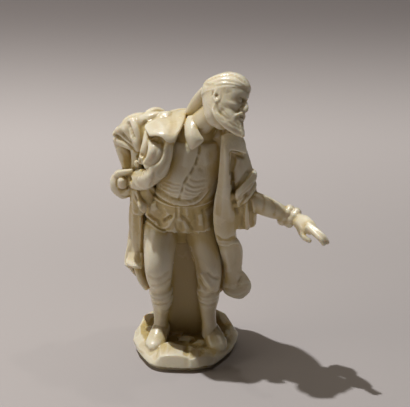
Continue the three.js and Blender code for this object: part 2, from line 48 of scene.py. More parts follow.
# The figure is modelled in millimetres above the top of the base and then set on it, in metres
body = {
    "baseHeight": 12.0,
    "posedHeight": 170.78,  # from the top of the base to the top of the cap, as posed here
    "voxel": 0.40,
    "mostTriangles": 190000,
    "smoothing": 3,  # rounds of averaging that take the steps of the voxels away
}
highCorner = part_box("figure")[1]
step = (highCorner.z * 1000 - body["baseHeight"]) / body["posedHeight"]


# Where a place in the photograph lies in the figure: across it, and up it for a chosen depth.
# The picture is 410 by 407 pixels and is taken from 25 degrees above the level, from far away.
photo = {"middle": 186, "floorLine": 351, "pixelsPerMm": 1.8, "elevation": 25}
lookUp = radians(photo["elevation"])


def seen(px, py, y):
    x = (px - photo["middle"]) / photo["pixelsPerMm"]
    z = (photo["floorLine"] - py) / (photo["pixelsPerMm"] * cos(lookUp)) - y * sin(lookUp) / cos(lookUp)
    return [x, y, z - body["baseHeight"]]


def seenAll(stations):  # stations of [px, py, y, width, depth]
    return [(*seen(*station[:3]), *station[3:]) for station in stations]


# The knees and feet stand back under the coat, while the stooping body and the head lean forward. Each
# point moves along the line of sight, so that the figure looks the same in the photograph.
lean = {"from": 62, "share": 0.1, "feetBack": 8, "kneeHeight": 36, "chestHeight": 100}
alongSight = np.array([0, -1, sin(lookUp) / cos(lookUp)])


def leaned(points):
    z = points[:, 2]
    back = lean["feetBack"] * (1 - ease(z, lean["kneeHeight"], lean["chestHeight"]))
    out = lean["share"] * np.maximum(z - lean["from"], 0) - back
    return points + out[:, None] * alongSight


# Helpers for shapes
def bell(value, centre, width):  # a bell curve
    return np.exp(-(((value - centre) / width) ** 2))


def ease(value, start, end):  # from 0 to 1, level at both ends
    f = np.clip((value - start) / (end - start), 0, 1)
    return f * f * (3 - 2 * f)


def unit(vectors):  # vectors over their own lengths
    return vectors / np.maximum(np.linalg.norm(vectors, axis=-1, keepdims=True), 1e-9)


def waves(angle, rows):  # the sum of height times cos(count times the angle, plus start)
    return sum(height * np.cos(count * angle + start) for height, count, start in rows)


# Catmull-Rom: a cubic between each two stations, with slopes taken from their neighbours
def curveThrough(stations, share):
    rows = np.asarray(stations, float)
    last = len(rows) - 1
    place = np.clip(share, 0, 1) * last
    index = np.minimum(place.astype(int), last - 1)
    f = (place - index)[..., None]
    before, here, there, after = (rows[np.clip(index + k, 0, last)] for k in (-1, 0, 1, 2))
    slope = there - before
    bend = 2 * before - 5 * here + 4 * there - after
    twist = 3 * here - before - 3 * there + after
    return here + 0.5 * f * (slope + f * (bend + f * twist))


# Triangles in place of quads
def halved(quads):
    return np.concatenate([quads[:, [0, 1, 2]], quads[:, [0, 2, 3]]])


# Triangles between rings of points, each ring closed on itself, and a fan to a middle point at each end
def closedTube(rings):
    count, around = rings.shape[:2]
    r, k = np.meshgrid(np.arange(count - 1), np.arange(around), indexing="ij")
    a, b = r * around + k, r * around + (k + 1) % around
    quads = np.stack([a, b, b + around, a + around], -1).reshape(-1, 4)
    points = np.concatenate([rings.reshape(-1, 3), rings[[0, -1]].mean(1)])
    first = np.arange(around)
    after = (first + 1) % around
    hub = np.full(around, count * around)
    last = (count - 1) * around
    fans = [np.stack([after, first, hub], -1), np.stack([first + last, after + last, hub + 1], -1)]
    return points, np.concatenate([halved(quads), *fans])


# Ellipses carried along stations of [x, y, z, width, depth]: the point at an angle is the centre plus
# width cos + depth sin across the run. relief adds to the radius, lift to the height, dome rounds the ends.
def tube(stations, side=(1, 0, 0), rings=70, around=64, dome=(0.5, 0.5), relief=None, lift=None):
    turn = np.linspace(0, pi / 2, 9)[1:-1]
    share = np.concatenate([np.zeros(len(turn)), np.linspace(0, 1, rings), np.ones(len(turn))])
    swell = np.concatenate([np.cos(turn[::-1]), np.ones(rings), np.cos(turn)])
    shift = np.concatenate([-dome[0] * np.sin(turn[::-1]), np.zeros(rings), dome[1] * np.sin(turn)])
    rows = curveThrough(stations, share)
    ahead = curveThrough(stations, np.minimum(share + 0.02, 1))[:, :3]
    behind = curveThrough(stations, np.maximum(share - 0.02, 0))[:, :3]
    run = unit(ahead - behind)
    across = np.asarray(side, float)
    wide = unit(across - run * (run @ across)[:, None])
    deep = np.cross(run, wide)
    half = rows[:, 3:5] / 2
    centre = rows[:, :3] + run * (shift * half.sum(1) / 2)[:, None]
    angle = np.linspace(0, 2 * pi, around, endpoint=False)[None, :]
    extra = relief(angle, share[:, None]) if relief else 0
    reach = swell[:, None] * (half[:, :1] + extra) * np.cos(angle)
    depth = swell[:, None] * (half[:, 1:] + extra) * np.sin(angle)
    points = centre[:, None] + reach[..., None] * wide[:, None] + depth[..., None] * deep[:, None]
    if lift:
        points[..., 2] += lift(angle, share[:, None])
    return closedTube(points)


def ball(centre, size):  # a short tube whose domed ends make it round
    x, y, z = centre
    ends = [(x, y, z - size / 4, size, size), (x, y, z + size / 4, size, size)]
    return tube(ends, rings=4, around=20, dome=(0.7, 0.7))


# A roll round a loop of stations [x, y, z, width, height]: a tube whose two ends meet
def loopRoll(loop, around=20):
    here, size = loop[:, :3], loop[:, 3:5] / 2
    run = unit(np.roll(here, -1, 0) - np.roll(here, 1, 0))
    out = here - here.mean(0)
    out = unit(out - run * (out * run).sum(1)[:, None])
    up = np.cross(run, out)
    angle = np.linspace(0, 2 * pi, around, endpoint=False)
    reach, rise = size[:, :1] * np.cos(angle), size[:, 1:] * np.sin(angle)
    rings = here[:, None] + reach[..., None] * out[:, None] + rise[..., None] * up[:, None]
    count = len(rings)
    r, k = np.meshgrid(np.arange(count), np.arange(around), indexing="ij")
    a, b = r * around + k, r * around + (k + 1) % around
    c, d = (r + 1) % count * around + k, (r + 1) % count * around + (k + 1) % around
    return rings.reshape(-1, 3), halved(np.stack([a, b, d, c], -1).reshape(-1, 4))


# Cloth: a sheet of points over (across, down), given thickness along its normal, thinner near its edges
def cloth(surface, columns=120, rows=90, thickness=3.0, rounding=0.04):
    v, u = np.meshgrid(np.linspace(0, 1, rows), np.linspace(0, 1, columns), indexing="ij")
    middle = surface(u, v)
    normal = unit(np.cross(np.gradient(middle, axis=1), np.gradient(middle, axis=0)))
    near = np.minimum(np.minimum(u, 1 - u) * columns / rows, np.minimum(v, 1 - v)) / rounding
    half = thickness / 2 * np.sqrt(1 - 0.93 * (1 - np.clip(near, 0, 1)) ** 2)
    front = middle + normal * half[..., None]
    back = middle - normal * half[..., None]
    rings = np.concatenate([front, back[:, ::-1]], 1)
    count, around = rings.shape[:2]
    r, k = np.meshgrid(np.arange(count - 1), np.arange(around), indexing="ij")
    a, b = r * around + k, r * around + (k + 1) % around
    quads = np.stack([a, b, b + around, a + around], -1).reshape(-1, 4)
    k = np.arange(columns - 1)
    start = np.stack([k + 1, k, around - 1 - k, around - 2 - k], -1)
    end = start[:, ::-1] + (count - 1) * around
    return rings.reshape(-1, 3), halved(np.concatenate([quads, start, end]))


# The rocky base: columns of corners from the front left round to the left, each column with a low corner, one
# half way up and one on the rim, in millimetres from the floor. Flat faces lie between them.
base = {
    "low": [
        (-23.6, -20.6, 3.8), (-20.8, -25, 3.2), (-17.4, -27.8, 3), (-13.8, -29.2, 3.1), (-9.6, -29.9, 3),
        (-5, -30.4, 3), (-1, -30.6, 3), (1, -30.6, 3), (3, -30.8, 3), (7, -29.8, 3.1), (11, -28.2, 3.2),
        (15.6, -26, 2.9), (20.2, -18.8, 3), (25.2, -9.6, 3), (27.8, 0.8, 3), (27.8, 10, 3), (24, 19, 2),
        (18, 26, 2), (6, 29, 2), (-7, 29, 2), (-18.6, 24.4, 2), (-24, 18, 2.4), (-28.4, 8, 3.2),
        (-29.2, -2, 3.7), (-27.2, -11.4, 3.8),
    ],
    "lip": [
        (-22.8, -18.6, 6.6), (-20.4, -22.6, 6.4), (-17.5, -26.4, 5.6), (-14.4, -27.2, 8.8),
        (-11, -27.6, 9.9), (-6, -28, 10.1), (-2.2, -28.2, 9.9), (1, -28.2, 8.9), (2.5, -29.2, 8),
        (6.7, -28, 8.6), (11, -26, 8.2), (15.8, -23.4, 6.8), (20.4, -17, 5.6), (25.8, -7.8, 5.3),
        (28.8, 1.8, 5.2), (29.4, 9, 5.2), (25, 19, 6), (18.6, 27, 7), (6.4, 30, 6), (-7.6, 30, 6),
        (-19.6, 25.6, 6.4), (-25.6, 19, 7), (-29, 8, 7), (-30, -1, 6.4), (-27.6, -10.4, 6.6),
    ],
    "rim": [
        (-21.5, -14, 9.5), (-18.8, -18.6, 8), (-16.6, -20.1, 9), (-14.4, -16.4, 11), (-10.2, -15, 12),
        (-6.7, -17.4, 11.5), (-1.7, -19.6, 11), (0.6, -17.6, 9.4), (3.3, -18.5, 10.5), (5.6, -20.4, 9.8),
        (10.6, -17, 8.4), (14.4, -17, 7.6), (18.6, -13, 8), (22.4, -3, 8.4), (25, 6, 9), (25.6, 13, 9.4),
        (22, 21, 12), (16.7, 26, 12.5), (6, 27.5, 10), (-7, 27.5, 10), (-19.4, 24.5, 12), (-23.9, 18, 12.2),
        (-26.4, 8, 10.5), (-26, -2, 10.4), (-24.4, -9, 10.6),
    ],
    "centre": (-1, 0),
    "footShare": 0.9,  # how far out the foot and the ground lie, as shares of the low corners and the rim
    "innerShare": 0.86,
    "groundShare": 0.6,
    "innerHeight": 0.85,
    "ground": 7.4,
    "rockRings": [  # heights and reaches of a lump's rings
        (-0.9, 0.6), (-0.2, 1), (0.55, 0.85), (0.95, 0.35),
    ],
    "rockCorners": 5,
    "rockTwist": 0.6,
    "rocks": [  # lumps on the ground: centre, half sizes and turn
        ((-0.5, -4, 7.6), (6.4, 5, 2.4), 20), ((9, -8, 6.8), (6, 5, 2.6), -20), ((-6, 4, 8), (6, 5, 2), 50),
        ((8, 8, 8), (6, 6, 2.4), 10), ((23, 4, 6.6), (3.6, 7, 2.6), -10), ((-20, 5, 8), (5.4, 9, 3), 10),
        ((-20, -6, 7.6), (4, 6, 2.6), -15), ((22.6, -5, 5.4), (2.8, 5, 2), 15),
    ],
}


def rockyBase():  # rings of corners from the underside up over the rim and down to the ground inside
    low, lip, rim = (np.array(base[name], float) for name in ("low", "lip", "rim"))
    centre = np.array([*base["centre"], 0])
    foot = low * [1, 1, 0] * base["footShare"]
    ledge = foot + [0, 0, low[0, 2]]
    share, high, ground = base["innerShare"], base["innerHeight"], base["ground"]
    height = high * rim[:, 2:] + (1 - high) * ground
    inner = centre + (rim - centre) * [share, share, 0] + [0, 0, 1] * height
    share = base["groundShare"]
    middle = centre + (rim - centre) * [share, share, 0] + [0, 0, ground]
    return closedTube(np.array([foot, ledge, low, lip, rim, inner, middle]))


def rock(centre, half, turn):  # a lump with a few flat faces: an ellipsoid of few corners
    corners = base["rockCorners"]
    wide, deep, high = half
    rings = []
    for level, (height, reach) in enumerate(base["rockRings"]):
        angle = np.arange(corners) * 2 * pi / corners + base["rockTwist"] * level + radians(turn)
        ring = [reach * wide * np.cos(angle), reach * deep * np.sin(angle), high * height + 0 * angle]
        rings.append(np.stack(ring, -1))
    points, faces = closedTube(np.array(rings))
    return points + centre, faces


# Breeches, stockings and slippers
legs = {
    "right": [
        (-10.5, 6, 79.6, 20, 20), (-12.4, 2.6, 70.9, 20, 20.6), (-14.2, -9.8, 60.8, 19, 21),
        (-15, -17.4, 51.1, 16.6, 18), (-15, -17.4, 42.3, 14.6, 16), (-14.4, -14, 34.5, 12.2, 12.8),
        (-13.6, -12.6, 26.8, 12.6, 13.2),
        (-13.9, -9.6, 17.6, 9.2, 10.6), (-14.2, -10, 11, 8, 9.4), (-14.2, -10, 2, 8.6, 10),
    ],
    "left": [
        (6, -1, 82, 20, 21), (6.9, -3, 73.4, 20, 21), (9.6, -7, 59.3, 18, 19.5),
        (12.2, -11, 47.7, 15.4, 16.2), (12.9, -13, 39.4, 14, 14.8), (12.5, -12, 32.2, 11.9, 12.8),
        (12.5, -10.6, 26, 12.3, 13), (12.3, -10.4, 17.8, 9.2, 10.6), (12.8, -11.6, 11, 8.2, 9.4),
        (13.2, -12, 2, 8.8, 10),
    ],
    "garter": {"height": 0.7, "share": 0.6, "width": 0.022},
    "slipperSink": 0.2,
    "slipperPlan": [
        (0, 7.4, 8), (0.14, 9.6, 10.6), (0.36, 10.2, 10), (0.56, 10.8, 8), (0.76, 11, 6.6), (0.92, 9, 5.6),
        (1, 5.6, 4.4),
    ],
    "rightFoot": ((-13, -5.5, 0.4), (-18.6, -25.2, -1.6)),
    "leftFoot": ((12.4, -6.5, 0), (19.6, -22.6, -3.6)),
}


def leg(stations):  # a tube with a rolled garter under the knee
    garter = legs["garter"]

    def roll(angle, share):
        return garter["height"] * bell(share, garter["share"], garter["width"])
    return tube(stations, dome=(0.3, 0), relief=roll)


def slipper(heel, toe):  # a tube from the heel to the toe, resting on the line between them
    heel, toe = np.array(heel), np.array(toe)
    stations = [
        (*(heel + (toe - heel) * share + [0, 0, height / 2 - legs["slipperSink"]]), width, height)
        for share, width, height in legs["slipperPlan"]
    ]
    return tube(stations, dome=(0.5, 0.6))


# The trunk in its doublet, the rolled hem and the flared skirt
doublet = {
    "trunk": [
        (7.5, -11, 131, 15, 14), (6.6, -9, 126, 27, 19), (6.1, -8.5, 120.5, 35, 24),
        (3.9, -8.5, 110, 35, 28), (1.2, -8.2, 98, 34, 32), (-0.6, -5.8, 88, 33, 30), (-3, -1.5, 75, 35, 27),
        (-3, 0, 66, 31, 22), (-3, 0, 58, 20, 14),
    ],
    "hemShare": 0.628,
    "hemRise": 0.8,
    "hemSize": (3, 2.6),
    "skirt": [
        (-0.7, -5, 89, 31, 27), (-1.4, -4, 83.4, 37, 30), (-2.4, -3, 76.8, 41, 30.6),
        (-2.8, -2.4, 71, 43, 31),
    ],
    "skirtFolds": [(1.7, 7, 0.5), (0.5, 12, 1)],  # height, count round the skirt and start
    "opening": {"depth": 1.8, "width": 0.09},
    "hemSide": {"rise": 4.5, "width": 0.9},
    "hemFront": {"drop": 2.2, "width": 0.8},
    "hemWaves": [(0.7, 7, 0.9)],
}


def trunk():  # a tube down from the neck to between the legs, which the skirt hides
    return tube(doublet["trunk"], rings=200, around=140, dome=(0.2, 0.3))


def hemRoll():  # a roll round the trunk where its hem is, a little higher at the back
    x, y, z, width, depth = curveThrough(doublet["trunk"], np.array([doublet["hemShare"]]))[0]
    angle = np.linspace(0, 2 * pi, 120, endpoint=False)
    one = np.ones_like(angle)
    across, along = np.cos(angle), np.sin(angle)
    loop = [x + width / 2 * across, y + depth / 2 * along, z + doublet["hemRise"] * along]
    return loopRoll(np.stack([*loop, *(size * one for size in doublet["hemSize"])], -1))


def skirt():  # folds that deepen and a hem that rises and falls towards the lower edge
    slit, side, front = (doublet[name] for name in ("opening", "hemSide", "hemFront"))

    def folds(angle, share):
        opening = slit["depth"] * bell(angle, pi / 2, slit["width"])
        return share * (waves(angle, doublet["skirtFolds"]) - opening)

    def hem(angle, share):
        rise = side["rise"] * bell(angle, pi, side["width"])
        drop = front["drop"] * bell(angle, pi / 2, front["width"])
        return share**2 * (rise - drop + waves(angle, doublet["hemWaves"]))
    return tube(doublet["skirt"], rings=60, around=180, dome=(0.1, -0.3), relief=folds, lift=hem)


# The long coat: back, left front edge, right front, collar
coat = {
    "thickness": 3.2,
    "back": [
        (5, -6, 133, 17, 11), (3, -5, 127, 25, 18), (1, -3, 115, 27, 25), (-2, -1.5, 98, 27, 26),
        (-3, 0, 80, 27, 25), (-2.5, 1, 60, 27.6, 23), (-2, 2, 40, 30, 20), (-2, 3, 24, 31, 18.5),
    ],
    "sweep": {"from": 180, "turn": 185, "share": 0.85},  # degrees round the back, and the part that they take
    "flutes": [(0.7, 9, 0), (0.3, 14, 1)],
    "fluteGrowth": (0.3, 1.7),
    "hemRises": [(17, 0, 0.13), (-27, 0.43, 0.17)],  # height, place across and width
    "edgeShare": 0.97,
    "leftEdge": [  # px, py, y, width, depth
        (225, 137, -19, 5, 4), (225.5, 152, -22, 6.2, 5), (224.5, 168, -22.6, 6.4, 5),
        (224.3, 185, -22.4, 8, 5), (223.5, 200, -21.6, 10.4, 5), (224.5, 215, -20.4, 12.8, 5),
        (225.2, 228, -18.8, 12.6, 5), (226, 238, -17, 11, 5.4), (229.4, 244, -15.6, 12.2, 6),
        (231.6, 251, -14.4, 12.8, 6), (233, 262, -13, 11, 5.6), (233.2, 271, -12, 10, 5.6),
        (235.8, 279, -10.6, 13.8, 6.4), (237, 287, -9.6, 16.6, 6.8), (234, 294, -8.8, 13, 6),
    ],
    "leftHem": [
        (133, 240, 2, 5, 5), (131, 252, 1.6, 7, 5), (131.6, 262, 0, 9.4, 6), (133.4, 264.5, -2, 9, 5),
    ],
    "support": [
        (-1, 7.6, 78, 30, 19), (-1, 5.6, 55, 31, 20), (-1, 3.6, 30, 30, 18), (-1, 3, 12, 29, 18),
        (-1, 3, -3, 32, 20),
    ],
    "supportHollow": {"depth": 1.6, "width": 0.55},
    "rightFront": [  # px, py, y, width, depth
        (172.5, 132, -15, 5, 4), (170.5, 140, -18.6, 5, 4.6), (169.5, 148, -20.6, 5.2, 5),
        (168.2, 156, -21.4, 5.6, 6), (164, 164.6, -21.4, 8, 7.5), (157, 172.4, -20, 12, 9),
        (148, 178.4, -17, 13.6, 10.6), (139.6, 179.6, -12.6, 12.4, 10.6), (131, 178.8, -7, 8, 8),
    ],
    "frontHollow": [
        (158, 142, -14.6, 10, 6), (157.6, 150, -19.6, 10, 6), (155, 158, -20.6, 9, 6),
        (150, 165, -18.6, 8, 6),
    ],
    "sideFold": [
        (151, 133, -8, 7, 7), (149.6, 143, -12.6, 7.4, 6), (147.6, 152, -14, 7.6, 6),
        (145, 160, -13.4, 6.6, 6),
    ],
    "armpit": [(137, 134, 1, 12, 10), (137, 150, -3, 7, 8), (137, 166, -5, 6, 7)],
    "knots": [(142.8, 159.8, -15.6, 4.6), (137.4, 163.4, -10.6, 3.2)],  # px, py, y, size
    "sleeveHead": [(147, 120, 1, 8, 8), (139, 121, 3, 9, 9), (131, 124, 5, 9, 9), (126, 130, 4, 8, 8)],
    "sleeveLip": [
        (115, 133, 6, 4, 4), (121, 136, 4.6, 4.6, 4.6), (129.6, 142, 1.6, 4.6, 4.6),
        (137, 149.6, -2.6, 3.4, 3.4),
    ],
    "sleeveLobe": [
        (133.6, 121, 1, 7, 7), (136, 130, -2.6, 9, 7), (138.4, 141, -6, 7.6, 6.4),
        (139.6, 150, -8, 4.6, 4.6),
    ],
    "ruffle": [
        (147, 117.4, 0, 5, 5), (151, 114.4, 2, 6, 5.4), (156.4, 112.6, 4, 6, 5.4), (163, 113, 5, 4.4, 5),
    ],
    "tag": [
        (137, 191, -9, 2.4, 2.4), (140, 199, -11, 2.8, 2.6), (143, 206, -13, 4.6, 3.4),
        (144.6, 211.6, -13, 2.4, 2),
    ],
    "lapel": [  # places in the photograph with their depths, row by row from the shoulder down
        [(160, 114.5, 4), (170, 113, 4), (180, 112, 3), (188, 111.5, 0)],
        [(151, 120, -3), (163, 119, -4), (175, 118, -5), (186, 118, -6)],
        [(145.6, 128, -10), (157, 127, -12), (170, 127, -14), (182.6, 128, -14.6)],
        [(149, 134.6, -16.5), (159, 134.4, -19.6), (168, 136.4, -21), (178.4, 136, -20)],
        [(152, 136.6, -18), (160.6, 136.8, -21), (168, 143, -23.4), (174.4, 143, -22.4)],
    ],
    "leftLapel": [
        [(221.4, 136, -18), (228, 134, -19), (235, 134, -17.6), (240.4, 137, -13)],
        [(222, 143, -20.6), (229, 142.6, -21.4), (237, 143, -19.8), (244, 144, -14.6)],
        [(223, 150, -22.4), (230, 150.6, -22.8), (238, 152, -20.8), (245.2, 154.4, -15.6)],
    ],
    "leftSheet": [  # the coat's inside beside the right leg
        [(131, 200, -2), (137, 200, -5), (143, 201, -6)],
        [(129.6, 215, 1), (136, 215, -3), (142, 216, -5)],
        [(130, 235, 4), (136, 235, -1), (142, 236, -4)],
        [(127.6, 252, 3), (134, 253, -2), (141, 254, -5)],
        [(127.4, 264, 0), (132.6, 267, -4), (138, 266.6, -6)],
    ],
    "leftCorner": [  # its turned-up corner
        [(130, 251, 1), (136, 252, -3), (143, 253, -5.6)],
        [(127.6, 257.6, -1.6), (134, 258.6, -5.6), (143, 259, -8)],
        [(125.6, 262.6, -4.8), (132, 264.4, -8.8), (142.4, 264.6, -10.8)],
        [(127, 265.4, -7.4), (133, 267.8, -11), (141, 267.8, -12.6)],
    ],
    "lowFold": [
        (138, 266, -3, 6, 5), (139.4, 274, -4, 5.4, 5), (142.4, 282, -5, 5, 4.6),
        (146.4, 289, -6, 3.6, 3.6),
    ],
    "besideTag": [(147, 186, -8, 8, 8), (148, 194, -8, 9, 8), (149, 202, -8, 8, 8)],
    "underFist": [(138, 190, -3, 8, 7), (139, 200, -4, 8.6, 7), (139, 212, -4, 7, 6)],
    "drawnFolds": ["frontHollow", "sideFold", "armpit", "sleeveLip"],  # drawn back with the fist
    "sleeveFolds": ["sleeveHead", "sleeveLobe", "ruffle"],
    "sideFolds": ["tag", "lowFold", "besideTag", "underFist"],
    "patches": [  # and thicknesses
        ("lapel", 2.4), ("leftLapel", 2.4), ("leftSheet", 3), ("leftCorner", 2.6),
    ],
    "collarInner": [
        (-6, -20.5, 124.5), (-3.5, -15, 128), (-0.5, -6, 131.5), (2.5, 1, 133.6), (8, 3, 136),
        (14, 0, 136.5), (18, -8, 135.5), (20, -15, 130), (20.5, -20, 121),
    ],
    "collarCrest": [
        (-9, -21, 124.5), (-11, -14, 128.5), (-7.5, -3, 133), (-4, 7, 131.5), (7, 11, 132.5), (17, 8, 131),
        (23, -1, 130.5), (26.5, -11, 127), (24, -21, 119),
    ],
    "collarOuter": [
        (-11.5, -18, 121.5), (-18, -10, 124), (-13, 1, 129), (-8, 10, 126), (5, 13.5, 123), (16, 11, 122.5),
        (25, 3, 122), (29.5, -7.5, 119), (29, -17.5, 113.5),
    ],
}


# The coat's back: half ellipses from the right side round to the left, with flutes that deepen and a hem that
# rises and falls downwards. Its last part leads over to the left front edge.
def coatBack():
    sweep, growth = coat["sweep"], coat["fluteGrowth"]

    def surface(u, v):
        x, y, z, width, depth = np.moveaxis(curveThrough(coat["back"], v), -1, 0)
        angle = np.radians(sweep["from"] - sweep["turn"] * np.minimum(u / sweep["share"], 1))
        flute = (growth[0] + growth[1] * v) * waves(angle, coat["flutes"])
        hem = v * v * sum(rise * bell(u, place, width) for rise, place, width in coat["hemRises"])
        across, along = (width + flute) * np.cos(angle), (depth + flute) * np.sin(angle)
        back = np.stack([x + across, y + along, z + hem], -1)
        edge = curveThrough(seenAll(coat["leftEdge"]), v * coat["edgeShare"])[..., :3]
        return back + (edge - back) * ease(u, sweep["share"], 1)[..., None]
    return cloth(surface, 300, 200, coat["thickness"], rounding=0.02)


def collar():  # a sheet bent over its crest: (1-v)(1-v) inner + 2v(1-v) crest + v v outer
    def surface(u, v):
        lines = ("collarInner", "collarCrest", "collarOuter")
        inner, crest, outer = (curveThrough(coat[name], u) for name in lines)
        f = v[..., None]
        return (1 - f) ** 2 * inner + 2 * f * (1 - f) * crest + f * f * outer
    return cloth(surface, 200, 60, 2.6, rounding=0.06)


def patch(rows, thickness):  # cloth over a few rows of places in the photograph
    grid = np.array([[seen(*place) for place in row] for row in rows])

    def surface(u, v):
        lines = curveThrough(grid.reshape(len(grid), -1), v[:, 0]).reshape(len(v), -1, 3)
        return np.stack([curveThrough(line, u[0]) for line in lines])
    return cloth(surface, 90, 90, thickness, rounding=0.06)


def coatForms():
    def hollow(angle, share):
        return -coat["supportHollow"]["depth"] * bell(angle, pi / 2, coat["supportHollow"]["width"])
    return [
        coatBack(),
        tube(seenAll(coat["leftEdge"]), rings=160, dome=(0.3, 0.5)),
        tube(seenAll(coat["leftHem"]), dome=(0.3, 0.3)),
        tube(coat["support"], dome=(0.1, 0), relief=hollow),
        drawnBack(tube(seenAll(coat["rightFront"]), side=(1, 0, 0.6), rings=110, dome=(0.3, 0.3))),
        *[drawnBack(tube(seenAll(coat[name]))) for name in coat["drawnFolds"]],
        *[drawnBack(ball(seen(px, py, y), size)) for px, py, y, size in coat["knots"]],
        *[tube(seenAll(coat[name]), side=(0, 0, 1)) for name in coat["sleeveFolds"]],
        *[tube(seenAll(coat[name])) for name in coat["sideFolds"]],
        collar(),
        *[patch(coat[name], thickness) for name, thickness in coat["patches"]],
    ]


# Wide outer sleeves with tight inner ones, frills and hands
arms = {
    "rightSleeve": [
        (-7, -3, 125, 20, 18), (-18, 0, 121.5, 24, 19), (-28, 4, 119, 20, 17), (-35.5, 7.5, 117.5, 12, 12),
    ],
    "rightForearm": [
        (118.5, 138, 8, 6.4, 6), (122.5, 148, 5, 7.6, 8), (127.4, 161, 1.6, 8, 8), (130.4, 170, -1, 8, 8),
    ],
    "leftSleeve": [
        (18.5, -8, 125, 15, 16), (24, -10, 117, 16.6, 17), (27.6, -12.5, 105, 17.4, 17),
        (30, -14, 94, 17, 16), (31.4, -16, 84, 14.4, 12), (32.6, -16.4, 75.4, 11.4, 8.5),
        (32.8, -16.4, 72.6, 9, 7),
    ],
    "leftForearm": [
        (246, 198, -15, 11, 11.5), (258, 203, -15.4, 11.2, 11.6), (272, 208.6, -15, 10.4, 10.8),
        (284, 213.6, -14, 7.8, 8.2), (294, 217.6, -15, 6.6, 7),
    ],
    "frills": [  # px, py, y, radius, thickness
        (285.4, 214.6, -12.4, 3.8, 4.8), (292.4, 217.4, -13.4, 3.6, 4.8),
    ],
    "ripple": {"count": 9, "height": 0.5, "swell": 0.16, "start": 0.6},
    "cuffs": [  # centre, across, out, thickness
        ((30.4, -14, 96.4), 8.6, 8.8, 5.6), ((31.4, -14.4, 91.6), 7.6, 8.6, 4.6),
    ],
    "cuffSlant": (0.72, 0.7),
    "sleeveFolds": {"height": 0.9, "count": 4, "turn": 3},
    "hangingFolds": {"height": 1.2, "count": 5},
    "armRun": (6, -2.2, -3.4),
    "reach": 0.3,
    "reachFrom": 33,
    "fistBack": {"by": 9.5, "from": 18, "to": 32, "below": 98, "above": 118},
    "leftPalm": [
        (296, 218.4, -16, 6.6, 5.4), (300.6, 221.4, -20.6, 9.8, 5.4), (306, 225.4, -24.4, 9.6, 4.6),
        (311.4, 230, -27.6, 7, 3.8),
    ],
    "palmSide": (0.42, 0.8, 0.42),
    "fingerSize": 3.5,
    "thumbSize": 3.8,
    "knuckleSize": 3.4,
    "fingerTaper": 0.1,
    "leftFingers": [  # px, py, y along each finger
        [(306.4, 223.6, -25.6), (315.4, 230.2, -30), (322, 236, -33), (326, 242, -34)],
        [(306, 226.6, -27.6), (313.4, 233, -32), (318.8, 238.4, -35), (322.4, 243.4, -35.6)],
        [(306, 225, -25), (314, 231.6, -30), (320, 237.2, -33), (324, 242, -33.6)],
    ],
    "thumb": [(297.4, 223, -21), (299.4, 230, -25.6), (303, 236.6, -29.6), (308.6, 240.4, -31)],
    "rightPalm": [
        (122, 172.6, -3, 8, 8), (121.6, 178, -4.6, 12.4, 11), (121.8, 186, -5.6, 12.8, 11),
        (125, 192.4, -5.4, 9, 9),
    ],
    "thumbTip": (122.7, 182.6, -11.6, 5.6),  # px, py, y, size
    "forefinger": [
        (115, 178, -5, 4, 4), (118.6, 174, -8, 4, 4), (125, 172.4, -10, 3.8, 3.8),
        (132, 172, -10.6, 3.2, 3.2),
    ],
    "lowFinger": [
        (116, 187.4, -5, 4, 4), (121, 191.4, -8.4, 4.4, 4.4), (129, 190.6, -10.6, 4.6, 4.6),
        (136, 187, -10.4, 4, 4),
    ],
    "knuckles": [(112.8, 179.4, 1.6), (113.8, 184.6, 2), (116.6, 189.4, 2), (121, 193, 2)],
    "knuckleBend": [(3, -1, -6), (1.2, 0, -1.5), (3, 0.6, 3.4)],
}


def rolledCuff(centre, across, out, thickness):  # a roll round a slanted ellipse
    angle = np.linspace(0, 2 * pi, 90, endpoint=False)
    run = across * np.cos(angle)
    size = thickness + 0 * run
    x, y, z = centre
    aside, up = arms["cuffSlant"]
    loop = np.stack([x + aside * run, y + out * np.sin(angle), z + up * run, size, size], -1)
    return loopRoll(loop, around=28)


# A gathered frill round a wrist: a roll whose radius ripples, in the plane square to the arm
def frill(px, py, y, radius, thickness):
    run = unit(np.array(arms["armRun"]))
    first = unit(np.array([0, 0, 1]) - run * run[2])
    second = np.cross(run, first)
    ripple = arms["ripple"]
    angle = np.linspace(0, 2 * pi, 96, endpoint=False)
    reach = (radius + ripple["height"] * np.cos(ripple["count"] * angle))[:, None]
    around = np.cos(angle)[:, None] * first + np.sin(angle)[:, None] * second
    points = np.array(seen(px, py, y)) + reach * around
    swell = 1 + ripple["swell"] * np.cos(ripple["count"] * angle + ripple["start"])
    return loopRoll(np.concatenate([points, np.stack([thickness + 0 * angle, thickness * swell], -1)], 1))


def finger(points, thickness):  # a tube that gets thinner from point to point
    sizes = [thickness * (1 - arms["fingerTaper"] * k) for k in range(len(points))]
    stations = [(*point, size, size) for point, size in zip(points, sizes)]
    return tube(stations, side=(0, 0, 1), rings=24, around=24, dome=(0.5, 0.8))


def leftHand():  # an open hand: a flat tube for the palm, fingers close together and the thumb apart
    parts = [tube(seenAll(arms["leftPalm"]), side=arms["palmSide"], rings=40, around=40)]
    for places in arms["leftFingers"]:
        parts.append(finger([seen(*place) for place in places], arms["fingerSize"]))
    return parts + [finger([seen(*place) for place in arms["thumb"]], arms["thumbSize"])]


def rightHand():  # a fist round gathered cloth: a short palm with bent fingers over it
    parts = [tube(seenAll(arms["rightPalm"]), rings=40, around=40, dome=(0.5, 0.6))]
    parts += [tube(seenAll(arms[name]), rings=30, around=28) for name in ("forefinger", "lowFinger")]
    px, py, y, size = arms["thumbTip"]
    parts.append(ball(seen(px, py, y), size))
    for knuckle in np.array(arms["knuckles"]):
        bend = [seen(*(knuckle + shift)) for shift in arms["knuckleBend"]]
        parts.append(finger(bend, arms["knuckleSize"]))
    return parts


